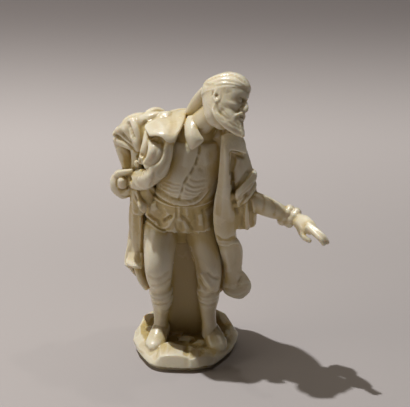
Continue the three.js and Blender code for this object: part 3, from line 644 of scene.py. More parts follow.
# The left forearm and hand reach towards the viewer, and the fist on the hip lies back, both along the line
# of sight
def reached(form):
    points, faces = form
    out = np.maximum(points[:, 0] - arms["reachFrom"], 0) * arms["reach"]
    return points + out[:, None] * alongSight, faces


def drawnBack(form):
    points, faces = form
    back = arms["fistBack"]
    aside = ease(-points[:, 0], back["from"], back["to"])
    out = -back["by"] * aside * (1 - ease(points[:, 2], back["below"], back["above"]))
    return points + out[:, None] * alongSight, faces


def armForms():
    folds, hangingFolds = arms["sleeveFolds"], arms["hangingFolds"]

    def turning(angle, share):
        return folds["height"] * np.cos(folds["count"] * angle + folds["turn"] * share)

    def hanging(angle, share):
        return hangingFolds["height"] * share * np.cos(hangingFolds["count"] * angle)
    reaching = [tube(seenAll(arms["leftForearm"]), side=(0, 0, 1))]
    reaching += [frill(*place) for place in arms["frills"]] + leftHand()
    return [
        tube(arms["rightSleeve"], side=(0, 0, 1), dome=(0.3, 0.5), relief=turning),
        drawnBack(tube(seenAll(arms["rightForearm"]))),
        tube(arms["leftSleeve"], dome=(0.4, 0.4), relief=hanging),
        *[rolledCuff(*cuff) for cuff in arms["cuffs"]],
        *[reached(form) for form in reaching],
        *[drawnBack(form) for form in rightHand()],
    ]


# Neck, head, cap and shirt collar. The head has axes of its own: forward, to its side and up
head = {
    "centre": (22, -21.5, 150.5),
    "yaw": 62,
    "pitch": -2,
    "roll": 36,
    "brim": {"level": 1.6, "forward": 3.6, "nearSide": 0.4, "from": 0.45},
    "neck": [(5, -7, 126, 15, 15), (10.5, -12.5, 135, 12.4, 15), (17, -17, 144, 12, 14)],
    "skull": [
        (-2, 0, 12.4, 11, 13), (-1.6, 0, 9.6, 18, 22), (-1, 0, 4.6, 21.4, 26), (-0.8, 0, 0, 21.2, 25.2),
        (0, 0, -4.6, 20, 23), (1, 0, -8.6, 18, 20), (3.2, 0, -11.8, 11.6, 13),
    ],
    "cap": [
        (-3.4, 0, 14.2, 8, 10), (-3, 0, 13, 13.6, 17), (-2.4, 0, 10.8, 18.6, 23.6),
        (-1.8, 0, 7.8, 21.2, 26.6), (-1.4, 0, 4.6, 22, 27), (-1.2, 0, 1.6, 22, 26.6),
    ],
    "tail": [
        (207, 95, -13, 9, 6), (201, 100.6, -9.6, 8.4, 6.4), (196, 107, -6, 8, 6.4),
        (190.6, 113, -3, 6, 5.6),
    ],
    "jaw": [
        (2, 0, -5, 17, 14), (5.2, 0, -8.6, 17, 13.2), (8, 0, -11.4, 14.4, 10.8),
        (10.6, 0, -13.8, 10.6, 8.2), (13.2, 0, -15.8, 6.4, 5.4), (15, 0, -17.4, 3, 2.8),
    ],
    "chinTip": 0.9,
    "pairs": ["ear", "noseWing", "brow", "cheek", "lip", "moustache", "sideBeard"],  # forms on both sides
    "nose": [
        (10.2, 0, 3.4, 2.6, 2.6), (11, 0, 1.4, 2.5, 3), (11.9, 0, -1, 2.9, 3.8), (12.3, 0, -3, 3.5, 4.4),
        (11.4, 0, -4.2, 3.4, 3.4),
    ],
    "noseWing": [(11.2, 1.3, -3, 1.8, 1.8), (10.8, 1.8, -3.8, 2.2, 2.2), (10.2, 1.6, -4.4, 1.6, 1.6)],
    "brow": [
        (10.3, 1.2, 3.4, 1.8, 2), (10.2, 3.6, 3.9, 2, 2), (8.6, 6, 3.3, 1.8, 1.8),
        (6.6, 7.8, 1.9, 1.4, 1.6),
    ],
    "cheek": [
        (8.8, 3, -2.6, 3, 3), (7.6, 5.4, -2.8, 4.4, 4.2), (5, 7.6, -2.2, 3.6, 3.6), (1.4, 9, -1, 2, 2),
    ],
    "lip": [(12.1, 0.1, -8.8, 1.6, 1.6), (11.7, 1.5, -8.8, 1.4, 1.4), (11, 2.8, -8.4, 0.8, 0.8)],
    "moustache": [
        (12, 0.7, -5.9, 2, 1.8), (11.7, 2.5, -6.5, 2.4, 2), (10.8, 4.4, -8, 2.2, 1.8),
        (9.4, 5.8, -9.8, 1.4, 1.4),
    ],
    "sideBeard": [
        (-0.6, 9.2, -3.6, 2, 2), (-1.2, 8.6, -7.4, 3.4, 3.2), (1.4, 7.8, -10.6, 4.6, 4.2),
        (5, 6, -13, 5, 4.6), (8.8, 3.6, -15, 4.8, 4.4), (12.2, 1.2, -16.6, 3.4, 3.2),
    ],
    "ear": [
        (0.4, 9.6, 2.6, 1.9, 1.9), (-1.6, 10.1, 2.4, 1.9, 1.9), (-2.4, 10.1, 0.4, 1.9, 1.9),
        (-1.8, 10.1, -1.8, 1.9, 1.9), (-0.4, 10.1, -3.4, 1.9, 1.9), (0.4, 9.6, -2.4, 1.9, 1.9),
    ],
    "shirtFlap": [
        [(188.5, 117, -8), (192, 116.5, -10), (195.5, 117.5, -12)],
        [(185.8, 127, -14), (191, 127, -17), (197, 127.5, -17.5)],
        [(185.6, 136, -18.6), (193, 136, -21.4), (201, 135.5, -21)],
        [(188, 144, -21), (195, 143.5, -23), (204, 141.5, -22.6)],
        [(190.8, 149, -22), (191.8, 150, -22.4), (194, 148.6, -22.4)],
    ],
}
yaw, pitch, roll = (radians(head[name]) for name in ("yaw", "pitch", "roll"))
headForward = np.array([sin(yaw) * cos(pitch), -cos(yaw) * cos(pitch), -sin(pitch)])
levelSide = np.array([cos(yaw), sin(yaw), 0])
levelUp = np.cross(headForward, levelSide)
headSide = levelSide * cos(roll) - levelUp * sin(roll)
headUp = levelUp * cos(roll) + levelSide * sin(roll)


def inHead(stations):
    rows = np.asarray(stations, float)
    forward, aside, up = rows[:, :1], rows[:, 1:2], rows[:, 2:3]
    place = np.array(head["centre"]) + forward * headForward + aside * headSide + up * headUp
    return np.concatenate([place, rows[:, 3:]], 1)


# The brim is high over the forehead and low at the nape, so the cap's lower rings are tilted
def cap():
    brim = head["brim"]

    def tilt(angle, share):
        rise = brim["level"] + brim["forward"] * np.sin(angle) - brim["nearSide"] * np.cos(angle)
        return ease(share, brim["from"], 1) * rise
    points, faces = tube(head["cap"], side=(0, 1, 0), around=96, dome=(0.2, 0), lift=tilt)
    return inHead(points), faces


def mirrored(name, side):  # a form on one side of the head
    rows = [(forward, side * aside, up, width, depth) for forward, aside, up, width, depth in head[name]]
    return tube(inHead(rows), side=headSide, rings=40, around=28)


def headForms():
    return [
        tube(head["neck"]),
        tube(inHead(head["skull"]), side=headSide, dome=(0.3, 0.5)),
        cap(),
        tube(seenAll(head["tail"]), side=(-0.5, 0, 0.8)),
        tube(inHead(head["jaw"]), side=headSide, dome=(0.4, head["chinTip"])),
        tube(inHead(head["nose"]), side=headSide, rings=30, around=32, dome=(0.3, 0.3)),
        *[mirrored(name, side) for name in head["pairs"] for side in (-1, 1)],
        patch(head["shirtFlap"], 1.8),
    ]


# Joining: all forms in one mesh, which a voxel remesh then fuses as wet clay is pressed together
def meshFrom(name, points, faces):
    mesh = bpy.data.meshes.new(name)
    mesh.vertices.add(len(points))
    mesh.vertices.foreach_set("co", np.asarray(points, np.float32).ravel())
    corners = np.asarray(faces, np.int32)
    mesh.loops.add(corners.size)
    mesh.loops.foreach_set("vertex_index", corners.ravel())
    mesh.polygons.add(len(corners))
    mesh.polygons.foreach_set("loop_start", np.arange(0, corners.size, corners.shape[1], dtype=np.int32))
    mesh.update(calc_edges=True)
    return mesh


def arraysOf(mesh):  # its points and its edges as arrays
    points = np.empty(len(mesh.vertices) * 3, np.float32)
    mesh.vertices.foreach_get("co", points)
    edges = np.empty(len(mesh.edges) * 2, np.int32)
    mesh.edges.foreach_get("vertices", edges)
    return points.reshape(-1, 3).astype(float), edges.reshape(-1, 2)


def applied(obj, kind, **settings):  # the mesh of an object after one modifier
    modifier = obj.modifiers.new(kind, kind)
    for name, value in settings.items():
        setattr(modifier, name, value)
    made = bpy.data.meshes.new_from_object(obj.evaluated_get(bpy.context.evaluated_depsgraph_get()))
    obj.modifiers.remove(modifier)
    old = obj.data
    obj.data = made
    bpy.data.meshes.remove(old)


def averaged(values, edges, rounds, share=0.5):  # each value moves a share of the way to its neighbours' mean
    values = values.copy()
    count = np.bincount(edges.ravel(), minlength=len(values))
    for _ in range(rounds):
        total = np.zeros_like(values)
        for k in range(values.shape[1]):
            total[:, k] = np.bincount(edges[:, 0], values[edges[:, 1], k], len(values))
            total[:, k] += np.bincount(edges[:, 1], values[edges[:, 0], k], len(values))
        values += share * (total / np.maximum(count, 1)[:, None] - values)
    return values


def fusedFigure():  # all forms as one mesh, set on the base, then remeshed
    figure = [
        leg(legs["right"]), leg(legs["left"]), slipper(*legs["rightFoot"]), slipper(*legs["leftFoot"]),
        trunk(), hemRoll(), skirt(), *coatForms(), *armForms(), *headForms(),
    ]
    lifted = [(leaned(points) * step + [0, 0, body["baseHeight"]], faces) for points, faces in figure]
    lifted += [rockyBase()] + [rock(*lump) for lump in base["rocks"]]
    allPoints, allFaces, count = [], [], 0
    for points, faces in lifted:
        allPoints.append(points)
        allFaces.append(faces + count)
        count += len(points)
    clay = meshFrom("clay", np.concatenate(allPoints) / 1000, np.concatenate(allFaces))
    obj = bpy.data.objects.new("porcelainFigure", clay)
    scene.collection.objects.link(obj)
    print("forms laid out", count, "points")
    applied(obj, "REMESH", mode="VOXEL", voxel_size=body["voxel"] / 1000, use_smooth_shade=True)
    print("fused", len(obj.data.polygons), "faces")
    return obj


# Strokes of the modelling tool. Each has a height, a width and a path: a positive height raises a fold, a
# negative one presses a groove. A path is drawn in a view and falls on the surface that is nearest there.
photoStrokes = {  # paths of places in the photograph
    # doublet
    "seam": (-0.35, 0.5, [
        (201, 141), (199.5, 150), (198, 158), (195, 165), (192, 171), (188, 178), (184.5, 183),
        (182.5, 190), (180, 197), (178, 202),
    ]),
    "buttonhole one": (-0.7, 0.6, [(200.2, 147), (199, 155)]),
    "buttonhole two": (-0.9, 0.6, [(198, 158), (196, 165.5)]),
    "buttonhole three": (-0.8, 0.6, [(194, 168), (191, 174)]),
    "buttonhole four": (-0.9, 0.6, [(188, 177), (184.6, 183.6)]),
    "buttonhole five": (-0.7, 0.6, [(183, 188), (182, 193)]),
    "buttonhole six": (-0.8, 0.6, [(181, 196), (178.6, 201)]),
    "placket": (0.4, 2.0, [(187, 150), (184, 168)]),
    "pleat left one": (-0.3, 0.6, [(165, 181), (174, 184.5), (182, 185.5)]),
    "pleat left two": (-0.35, 0.6, [(162, 183.5), (172, 187.8), (181, 189)]),
    "pleat left three": (-0.35, 0.6, [(160, 186.5), (170, 191.3), (180, 193)]),
    "pleat left four": (-0.35, 0.6, [(160, 190), (168, 194.6), (179, 197)]),
    "pleat left five": (-0.3, 0.6, [(163, 194.5), (170, 198), (178, 200)]),
    "pleat right one": (-0.45, 0.6, [(186.4, 183), (190, 185.6), (195, 187.4), (204, 186)]),
    "pleat right two": (-0.45, 0.6, [(185, 188), (190, 190.8), (197, 191.8), (206, 189)]),
    "pleat right three": (-0.35, 0.6, [(184, 192.6), (190, 195), (198, 195.4), (205, 192.6)]),
    "pleat right four": (-0.3, 0.6, [(183, 196.6), (190, 198.6), (198, 198.2), (203, 196)]),
    "pleat right high": (-0.25, 0.6, [(190, 179), (197, 181.6), (207, 180)]),
    "dimple": (-0.35, 1.0, [(199, 169), (203, 171)]),
    "chest fold": (0.35, 1.6, [(207, 146), (205, 156), (207, 166)]),
    "waist groove": (-0.8, 0.8, [
        (155, 185.5), (160, 191), (167, 195.8), (175, 199), (184, 201), (193, 200.2), (200, 196.5),
        (206, 190),
    ]),
    "waist roll": (1.0, 1.1, [
        (152.5, 187.5), (157, 193), (163, 198), (171, 202), (180, 204.3), (189, 204.2), (196, 202.2),
        (202, 197.6), (208, 190),
    ]),
    "under waist": (-1.0, 0.9, [
        (151, 190), (157, 196.5), (165, 201.8), (174, 206), (186, 207.6), (196, 206), (204, 200),
    ]),
    # lapel and the right front of the coat
    "lapel shadow": (-1.6, 1.5, [(152, 139), (157, 140.5), (161, 142)]),
    "lapel side": (-0.9, 1.2, [(162, 112.5), (155, 118), (147, 123), (143, 128)]),
    "lapel wave": (0.5, 2.0, [(158, 122), (164, 130), (166, 138)]),
    "lapel dip": (-0.35, 1.6, [(172, 116), (174, 126), (172, 136)]),
    "front ridge": (0.8, 1.2, [
        (165, 146), (165.2, 154), (161.6, 163), (154, 167), (143, 168.8), (132, 170.6), (126, 172.4),
    ]),
    "front valley": (-0.5, 1.2, [(158, 147), (156, 156), (150, 163), (145, 166)]),
    "front turn": (-0.5, 1.0, [(169, 149), (168.4, 158), (165, 166), (159, 175)]),
    "swag belly": (0.6, 2.6, [(138, 179), (145, 180), (151, 177)]),
    "swag crease": (-0.5, 1.0, [(155, 172), (154, 180), (151, 187)]),
    "swag fold": (-0.5, 0.8, [(131, 173.5), (137, 175), (144, 174)]),
    "swag edge": (0.5, 1.0, [(135, 184), (141, 188), (147, 189.5), (152, 188)]),
    "knot gap": (-1.7, 1.0, [(138.6, 157), (139.4, 162), (141, 166)]),
    "knot hole": (-1.2, 0.9, [(140, 155), (144, 156)]),
    # right sleeve and hand
    "sleeve underside": (-1.5, 0.9, [
        (115.4, 135.8), (120, 138.8), (126.7, 144.4), (132, 149), (136.6, 153),
    ]),
    "sleeve fold": (0.6, 1.6, [(122, 129), (127, 134), (133, 141)]),
    "sleeve valley": (-1.5, 1.2, [(128.5, 124), (131, 131), (135, 140)]),
    "sleeve valley two": (-1.0, 1.2, [(122, 133), (127, 139), (132, 145)]),
    "elbow notch": (-0.7, 0.8, [(114, 145.5), (119, 147.6)]),
    "elbow fold": (0.4, 1.0, [(114, 140), (120, 145)]),
    "forearm fold": (-0.4, 1.2, [(121, 150), (126, 158), (127, 166)]),
    "hand hollow": (-2.0, 1.1, [(129.4, 177.6), (130.6, 180.6)]),
    "thumb round": (-0.5, 0.6, [(117, 180), (117.4, 186), (121.4, 190), (127, 188.5), (128.6, 184)]),
    "palm lobe": (0.6, 1.4, [(128, 189), (133, 187.5)]),
    # left front of the coat, sleeve and arm
    "left lapel groove": (-0.8, 0.9, [(229.6, 155), (237, 156), (244, 158)]),
    "strip ridge": (0.6, 2.0, [(226, 150), (227, 170), (228, 190), (229.5, 205), (231, 220)]),
    "strip valley": (-0.6, 1.5, [(221.5, 140), (222, 160), (220, 180), (218.5, 200), (218, 215)]),
    "strip side": (-1.4, 1.0, [
        (230.6, 154), (230, 165), (231, 175), (232.4, 186), (232.8, 196), (235, 205), (238, 214),
    ]),
    "twist": (-0.9, 1.0, [(216, 236), (221, 240), (228, 240.4), (235, 236.6)]),
    "twist fold": (0.7, 1.0, [(219, 244.5), (227, 245.5), (234, 242.6), (239, 243.5)]),
    "low ridge": (0.6, 1.5, [(225, 250), (228, 262), (229, 273)]),
    "low valley": (-0.5, 1.5, [(236, 247), (238, 257), (235, 268)]),
    "corner crease": (-0.8, 1.0, [(243, 276), (240, 281), (238, 288)]),
    "corner fold": (0.6, 1.0, [(249, 281.5), (241, 284), (232, 286.5)]),
    "corner roll": (0.6, 1.0, [(224, 291), (232, 295.5), (241, 294.5), (249, 289)]),
    "corner groove": (-0.5, 0.9, [(226, 289.5), (234, 291.4), (244, 288)]),
    "sleeve slant": (0.6, 1.1, [(238, 159), (233, 171)]),
    "sleeve slant shade": (-0.7, 1.0, [(232.5, 157), (234.5, 163), (232, 171)]),
    "cuff top": (-0.8, 0.9, [(249, 170), (243, 177), (237.5, 184), (233.6, 191)]),
    "cuff fold": (-0.6, 0.7, [(256.4, 180), (250, 186.6), (243, 193.6), (238, 199)]),
    "cuff ridge": (0.5, 0.9, [(253, 175), (246, 181.6), (239, 189)]),
    "cuff inside": (-1.6, 1.3, [(247, 194), (243.6, 201), (240.5, 207)]),
    "hanging crease one": (-0.9, 0.8, [(249.5, 200), (250.5, 212), (251, 226)]),
    "hanging crease two": (-0.7, 1.0, [(243, 204), (242, 215), (241.4, 227)]),
    "hanging ridge one": (0.6, 0.9, [(246.5, 201), (246.2, 226)]),
    "hanging ridge two": (0.6, 0.9, [(253.4, 203), (254, 222)]),
    "sleeve wrinkle one": (-0.4, 0.8, [(262, 195), (264, 203), (262, 212)]),
    "sleeve wrinkle two": (-0.35, 0.8, [(272, 200), (275, 208), (273, 217)]),
    "sleeve wrinkle three": (0.35, 1.0, [(267, 198), (270, 206), (268, 214)]),
    # skirt
    "skirt opening left": (-0.8, 0.5, [(176.4, 206), (176.6, 218)]),
    "skirt opening lace": (0.4, 0.8, [(179.2, 207), (179.4, 216)]),
    "skirt opening right": (-0.7, 0.5, [(181.8, 207), (182.4, 214)]),
    "left hem band": (0.8, 0.9, [
        (144, 213), (149, 217), (154, 221), (158.5, 225), (163.5, 227.5), (168, 226.5), (171, 222),
        (174, 217), (176, 212),
    ]),
    "left hem inside": (-0.7, 0.8, [(149, 214), (155, 218.6), (160, 222.4)]),
    "left hem slit": (-1.8, 0.9, [(163, 221.4), (167.5, 218.8), (172, 216.4)]),
    "left hem groove": (-0.6, 0.6, [(145.5, 217.6), (151, 221.6), (157, 227), (164, 230), (170.5, 228)]),
    "left low hem": (0.6, 0.8, [
        (143.5, 219.4), (148, 222.6), (154, 226.4), (159.5, 229.8), (165.5, 231.6), (171.5, 230),
    ]),
    "left panel swell": (1.0, 3.0, [(151, 206), (158, 207)]),
    "left panel fold": (0.5, 1.4, [(164, 207), (168, 213)]),
    "right flap edge": (-0.9, 0.7, [(181.5, 215), (186.5, 220), (191.5, 226.6), (193.5, 232)]),
    "right flap leaf": (0.7, 1.2, [(178.6, 217.6), (183.6, 222.6), (188.4, 229.5)]),
    "leaf side": (-0.6, 0.8, [(175.6, 222), (177.4, 229), (181, 233)]),
    "right panel fold": (0.5, 0.9, [(186.4, 208), (187.6, 216)]),
    "right panel crease": (-0.6, 1.0, [(193.5, 209), (195.6, 219), (195.6, 230)]),
    "right panel crease two": (-0.5, 1.0, [(202.6, 208), (205, 220), (205, 230)]),
    "right panel swell": (0.5, 1.8, [(199.5, 214), (200.5, 226)]),
    "right hem": (0.5, 0.7, [(192, 231.4), (203, 231.6), (210.5, 228)]),
    # legs
    "right knee top": (-0.45, 1.2, [(147.5, 276), (155, 279), (163, 277), (169.4, 272)]),
    "right knee low": (-0.45, 1.2, [(149, 288), (157, 286.4), (165, 284), (171, 279)]),
    "right knee cap": (0.5, 2.2, [(157, 282)]),
    "right garter": (0.6, 1.0, [(149.6, 299), (157, 302), (165, 301), (172, 297)]),
    "right under garter": (-0.6, 0.8, [(151, 303.4), (160, 305.6), (169, 303)]),
    "right shin": (0.3, 1.2, [(160.5, 308), (160, 322)]),
    "left knee fold": (0.9, 1.1, [(201, 273), (206, 281), (212.5, 290)]),
    "left knee crease": (-0.9, 1.1, [(198, 279.6), (202, 286), (206.6, 291)]),
    "left knee crease two": (-0.6, 1.0, [(207, 272), (213, 277), (219.6, 279)]),
    "left knee bump": (0.8, 1.2, [(197.6, 290), (203, 291.6)]),
    "left knee low": (-0.5, 1.0, [(197, 296), (205, 297.4), (215, 293)]),
    "left garter": (0.5, 1.0, [(199, 301), (207, 304), (217, 301)]),
    "left under garter": (-0.5, 0.8, [(200.5, 305), (208, 307.4), (216, 304.6)]),
    "left thigh edge": (0.4, 0.6, [(190, 245), (192, 252), (194.5, 259)]),
    # the coat seen beside and between the legs
    "coat left crease": (-0.4, 1.2, [(136, 206), (137, 225), (138, 245), (140, 262)]),
    "coat left ridge": (0.5, 1.2, [(132.6, 205), (132, 225), (132.6, 243)]),
    "coat left lip": (0.7, 0.8, [(134, 196), (139, 205.5), (142, 212)]),
    # cap
    "cap band one": (-0.8, 0.9, [
        (206.5, 84), (213, 81), (219, 79), (225, 77.8), (231, 77.8), (237, 80), (242, 84), (247, 89),
    ]),
    "cap band two": (-0.45, 0.8, [(214, 85.6), (222, 84), (229, 84.6), (236, 86), (242, 89), (248, 94)]),
    "cap band three": (-0.35, 0.8, [(212, 77), (219, 75.4), (227, 75)]),
    "cap nape": (-0.5, 0.9, [(204, 86), (208, 88.4), (214, 88)]),
    "cap brim": (-0.35, 0.6, [
        (203, 93.5), (208, 91.5), (213, 90), (219, 88.5), (226, 88), (232, 88.5), (238, 90), (244, 93),
        (249, 98),
    ]),
}
faceStrokes = {  # paths of places to the side and up from the middle of the face
    "mouth": (-0.8, 0.45, [(-2.8, -7.6), (0, -7.4), (2.8, -7.6)]),
    "under lip": (-0.6, 0.8, [(-1.8, -9.8), (1.8, -9.8)]),
    "moustache parting": (-0.6, 0.5, [(0, -5.2), (0, -6.6)]),
    "beard middle": (-0.4, 0.6, [(-0.2, -11.4), (0.1, -15)]),
}
facePairs = {  # the same, but drawn on both sides of the face: a calm one with lowered lids
    "socket": (-1.3, 2.0, [(4.6, 1), (3.2, 0.9)]),
    "inner corner": (-0.9, 0.9, [(1.9, 1.2)]),
    "lid": (1.15, 1.2, [(4.9, 0.4), (3.3, 0.5)]),
    "lashes": (-0.5, 0.4, [(6, 0), (4.2, -0.75), (2.3, 0)]),
    "lid fold": (-0.3, 0.4, [(6.2, 1.2), (4.2, 1.9), (2.2, 1.4)]),
    "nostril": (-0.8, 0.5, [(0.9, -5)]),
    "wing groove": (-0.5, 0.5, [(2.5, -2.6), (3, -4)]),
    "cheek fold": (-0.1, 0.8, [(3, -4), (4.4, -5.8), (5.8, -8)]),
    "moustache hair": (-0.3, 0.4, [(1.2, -6), (3.4, -6.9), (5.6, -9)]),
    "beard lock": (-0.45, 0.6, [(4.6, -10), (3, -12.4), (1.4, -15)]),
}
for name, (height, width, path) in facePairs.items():
    for side in (-1, 1):
        faceStrokes[f"{name} {side}"] = (height, width, [(side * aside, up) for aside, up in path])
sideStrokes = {  # paths forward and up from the middle of the head, seen from its right side
    "ear bowl": (-0.9, 0.9, [(-0.6, -0.6)]),
    "ear back": (-0.5, 0.6, [(-3.4, 1.4), (-3.6, -1)]),
    "temple": (-0.5, 1.6, [(5.4, 2.4)]),
    "hair lock one": (-0.35, 0.5, [(1.8, 3), (2.4, -0.6), (1.8, -3.4)]),
    "hair lock two": (-0.3, 0.5, [(3, 4.4), (3.6, 1)]),
    "beard top": (-0.35, 0.6, [(1.4, -3), (3.6, -5), (6, -5.6)]),
    "beard wave one": (-0.45, 0.6, [(0.6, -5), (2.4, -8.4), (6, -10.6), (9, -11.4)]),
    "beard wave two": (-0.4, 0.6, [(3, -6), (5.4, -8.4), (9, -10.4)]),
    "beard wave three": (-0.4, 0.6, [(-1, -7), (2, -11), (6, -13)]),
    "beard wave four": (-0.3, 0.5, [(8, -12.8), (12, -14), (15.4, -14.6)]),
    "beard wave five": (-0.3, 0.5, [(10, -11.4), (13.4, -13)]),
}
backStrokes = {  # paths to the left and up, in millimetres, seen from behind
    "back crease one": (-0.8, 1.6, [(-14, 40), (-13, 80), (-10, 112)]),
    "back crease two": (-0.9, 1.8, [(-1, 36), (0, 80), (-2, 118)]),
    "back crease three": (-0.8, 1.6, [(12, 38), (12, 78), (8, 110)]),
    "back fold one": (0.8, 1.8, [(-7, 38), (-6, 80), (-6, 114)]),
    "back fold two": (0.8, 1.8, [(6, 38), (6, 78), (3, 112)]),
}
views = {
    "photo": {
        "right": (1, 0, 0), "up": (0, sin(lookUp), cos(lookUp)), "origin": (0, 0, 0), "strokes": photoStrokes,
    },
    "face": {"right": headSide, "up": headUp, "origin": head["centre"], "strokes": faceStrokes},
    "nearSide": {"right": headForward, "up": headUp, "origin": head["centre"], "strokes": sideStrokes},
    "back": {"right": (-1, 0, 0), "up": (0, 0, 1), "origin": (0, 0, 0), "strokes": backStrokes},
}

carving = {
    "cell": 0.7,  # of the grid that finds the nearest surface, in millimetres
    "spacing": 0.35,  # between the points that stand for a path
    "reach": 2.6,  # how many widths away a stroke still shows
    "turnedAway": 0.6,  # how far past edge-on a surface still takes a stroke
    "endShare": 0.35,  # of the height at a stroke's two ends, and how fast it grows from there
    "endGrowth": 4,
    "shortest": 2,  # shorter strokes keep their height to the ends
}


# A stroke moves each point along its normal by the height times a bell curve of the distance from the path
def carve(points, normals, name):
    view = views[name]
    right, up, origin = (np.array(view[part], float) for part in ("right", "up", "origin"))
    if origin.any():
        origin = leaned(origin[None])[0] * step + [0, 0, body["baseHeight"]]
    toward = np.cross(right, up)
    place = np.stack([(points - origin) @ axis for axis in (right, up, toward)], -1)
    cell = carving["cell"]
    start = place[:, :2].min(0)
    column, row = ((place[:, :2] - start) / cell).astype(int).T
    front = np.full((column.max() + 2, row.max() + 2), -np.inf)
    np.maximum.at(front, (column, row), place[:, 2])
    facing = np.clip(carving["turnedAway"] + normals @ toward, 0, 1)
    move = np.zeros(len(points))
    for height, width, path in view["strokes"].values():
        path = np.array(path, float)
        if name == "photo":
            path = (path - [photo["middle"], photo["floorLine"]]) * [1, -1] / photo["pixelsPerMm"]
        if len(path) == 1:
            path = np.concatenate([path, path + 0.05])
        length = np.linalg.norm(np.diff(path, axis=0), axis=1).sum()
        share = np.linspace(0, 1, int(length / carving["spacing"]) + 2)
        line = curveThrough(path, share)
        i, j = np.clip(((line - start) / cell).astype(int), 0, np.array(front.shape) - 1).T
        depth = front[i, j]
        known = np.isfinite(depth)
        if not known.any():
            print("a stroke misses the figure")
            continue
        depth = np.interp(share, share[known], depth[known])
        line = np.concatenate([line, depth[:, None]], 1)
        reach = carving["reach"] * width
        near = np.nonzero(((place > line.min(0) - reach) & (place < line.max(0) + reach)).all(1))[0]
        square = ((place[near][:, None] - line[None]) ** 2).sum(-1)
        nearest = square.argmin(1)
        taper = np.ones(len(share))
        if length > carving["shortest"]:
            taper = np.minimum(1, carving["endShare"] + carving["endGrowth"] * np.minimum(share, 1 - share))
        fall = np.exp(-square[np.arange(len(near)), nearest] / width**2)
        move[near] += height * fall * taper[nearest]
    return points + normals * (move * facing)[:, None]


def normalsOf(mesh):  # the outward direction at each point
    normals = np.empty(len(mesh.vertices) * 3, np.float32)
    mesh.vertices.foreach_get("normal", normals)
    return normals.reshape(-1, 3).astype(float)


def movedTo(mesh, points):  # puts new places into the mesh
    mesh.vertices.foreach_set("co", points.astype(np.float32).ravel())
    mesh.update()


figure = fusedFigure()
points, edges = arraysOf(figure.data)
points = averaged(points, edges, body["smoothing"])
movedTo(figure.data, points)
for name in views:
    points = carve(points * 1000, normalsOf(figure.data), name) / 1000
    movedTo(figure.data, points)
movedTo(figure.data, averaged(points, edges, 1))
print("carved")
triangles = 2 * len(figure.data.polygons)
if triangles > body["mostTriangles"]:
    applied(figure, "DECIMATE", ratio=body["mostTriangles"] / triangles)
figure.data.polygons.foreach_set("use_smooth", np.ones(len(figure.data.polygons), bool))
print("finished mesh", len(figure.data.polygons), "faces")


hollows = {
    "cell": 0.8,
    "directions": 48,
    "lowest": -0.25,  # the sines of the directions' heights, from the lowest one on
    "span": 1.2,
    "behind": 2.2,  # this far behind the foremost surface a point is hidden
    "spread": 8,
    "levelRounds": 14,  # a crease is where the surface lies under its own average over this many rounds
    "deepest": 0.28,
    "creaseSpread": 2,
}


# How closed in each point is: the share of directions, over half a globe round its normal, in which the
# figure hides the sky. Each direction has a grid of the foremost depths, as in a picture taken from there.
# The glaze colour uses it as painted shade in the hollows.
def closedIn(points, normals):
    cell, directions = hollows["cell"], hollows["directions"]
    count = np.arange(directions) + 0.5
    rise = hollows["lowest"] + hollows["span"] * count / directions
    turn = count * pi * (1 + 5**0.5)
    around = np.sqrt(1 - rise**2)
    clear, total = np.full(len(points), 1e-6), np.full(len(points), 1e-6)
    for toward in np.stack([around * np.cos(turn), around * np.sin(turn), rise], -1):
        right = unit(np.cross([0, 0, 1], toward))
        up = np.cross(toward, right)
        depth = points @ toward
        column, row = (((points @ axis) - (points @ axis).min()) / cell for axis in (right, up))
        column, row = column.astype(int), row.astype(int)
        front = np.full((column.max() + 1, row.max() + 1), -np.inf)
        np.maximum.at(front, (column, row), depth)
        weight = np.clip(normals @ toward, 0, 1)
        clear += weight * (depth > front[column, row] - hollows["behind"])
        total += weight
    return 1 - clear / total


def addAttribute(mesh, name, values):  # one value at each point, for the glaze
    attribute = mesh.attributes.new(name, "FLOAT", "POINT")
    attribute.data.foreach_set("value", values.astype(np.float32))


points, edges = arraysOf(figure.data)
normals = normalsOf(figure.data)
closed = averaged(closedIn(points * 1000, normals)[:, None], edges, hollows["spread"])[:, 0]
level = averaged(points * 1000, edges, hollows["levelRounds"])
crease = np.clip(((level - points * 1000) * normals).sum(1) / hollows["deepest"], -1, 1)
# the closed-in value becomes painted shade in the glaze colour
addAttribute(figure.data, "closed", closed)
addAttribute(figure.data, "crease", averaged(crease[:, None], edges, hollows["creaseSpread"])[:, 0])
print("hollows found", closed.min().round(2), closed.mean().round(2), closed.max().round(2))


# Shader sums: an output of a node that can be added, taken away and multiplied
class Wire:
    def __init__(self, tree, socket=None):
        self.tree, self.socket = tree, socket

    def node(self, kind, settings, inputs, output=0):
        made = self.tree.nodes.new("ShaderNode" + kind)
        for name, value in settings.items():
            setattr(made, name, value)
        for name, value in inputs.items():
            if isinstance(value, Wire):
                self.tree.links.new(value.socket, made.inputs[name])
            else:
                made.inputs[name].default_value = value
        return Wire(self.tree, made.outputs[output])

    def sum(self, operation, first, second):
        return self.node("Math", {"operation": operation}, {0: first, 1: second})

    def __add__(self, other):
        return self.sum("ADD", self, other)

    def __mul__(self, other):
        return self.sum("MULTIPLY", self, other)

    def __sub__(self, other):
        return self.sum("SUBTRACT", self, other)

    def __rsub__(self, other):
        return self.sum("SUBTRACT", other, self)
    __radd__, __rmul__ = __add__, __mul__

    def within(self, low, high):  # from 0 at low to 1 at high, level at both ends
        limits = {"Value": self, "From Min": low, "From Max": high}
        return self.node("MapRange", {"interpolation_type": "SMOOTHSTEP"}, limits)

    def blend(self, first, second):  # from one colour to another
        return self.node("Mix", {"data_type": "RGBA"}, {"Factor": self, "A": first, "B": second}, "Result")

    def into(self, shader, name):
        self.tree.links.new(self.socket, shader.inputs[name])
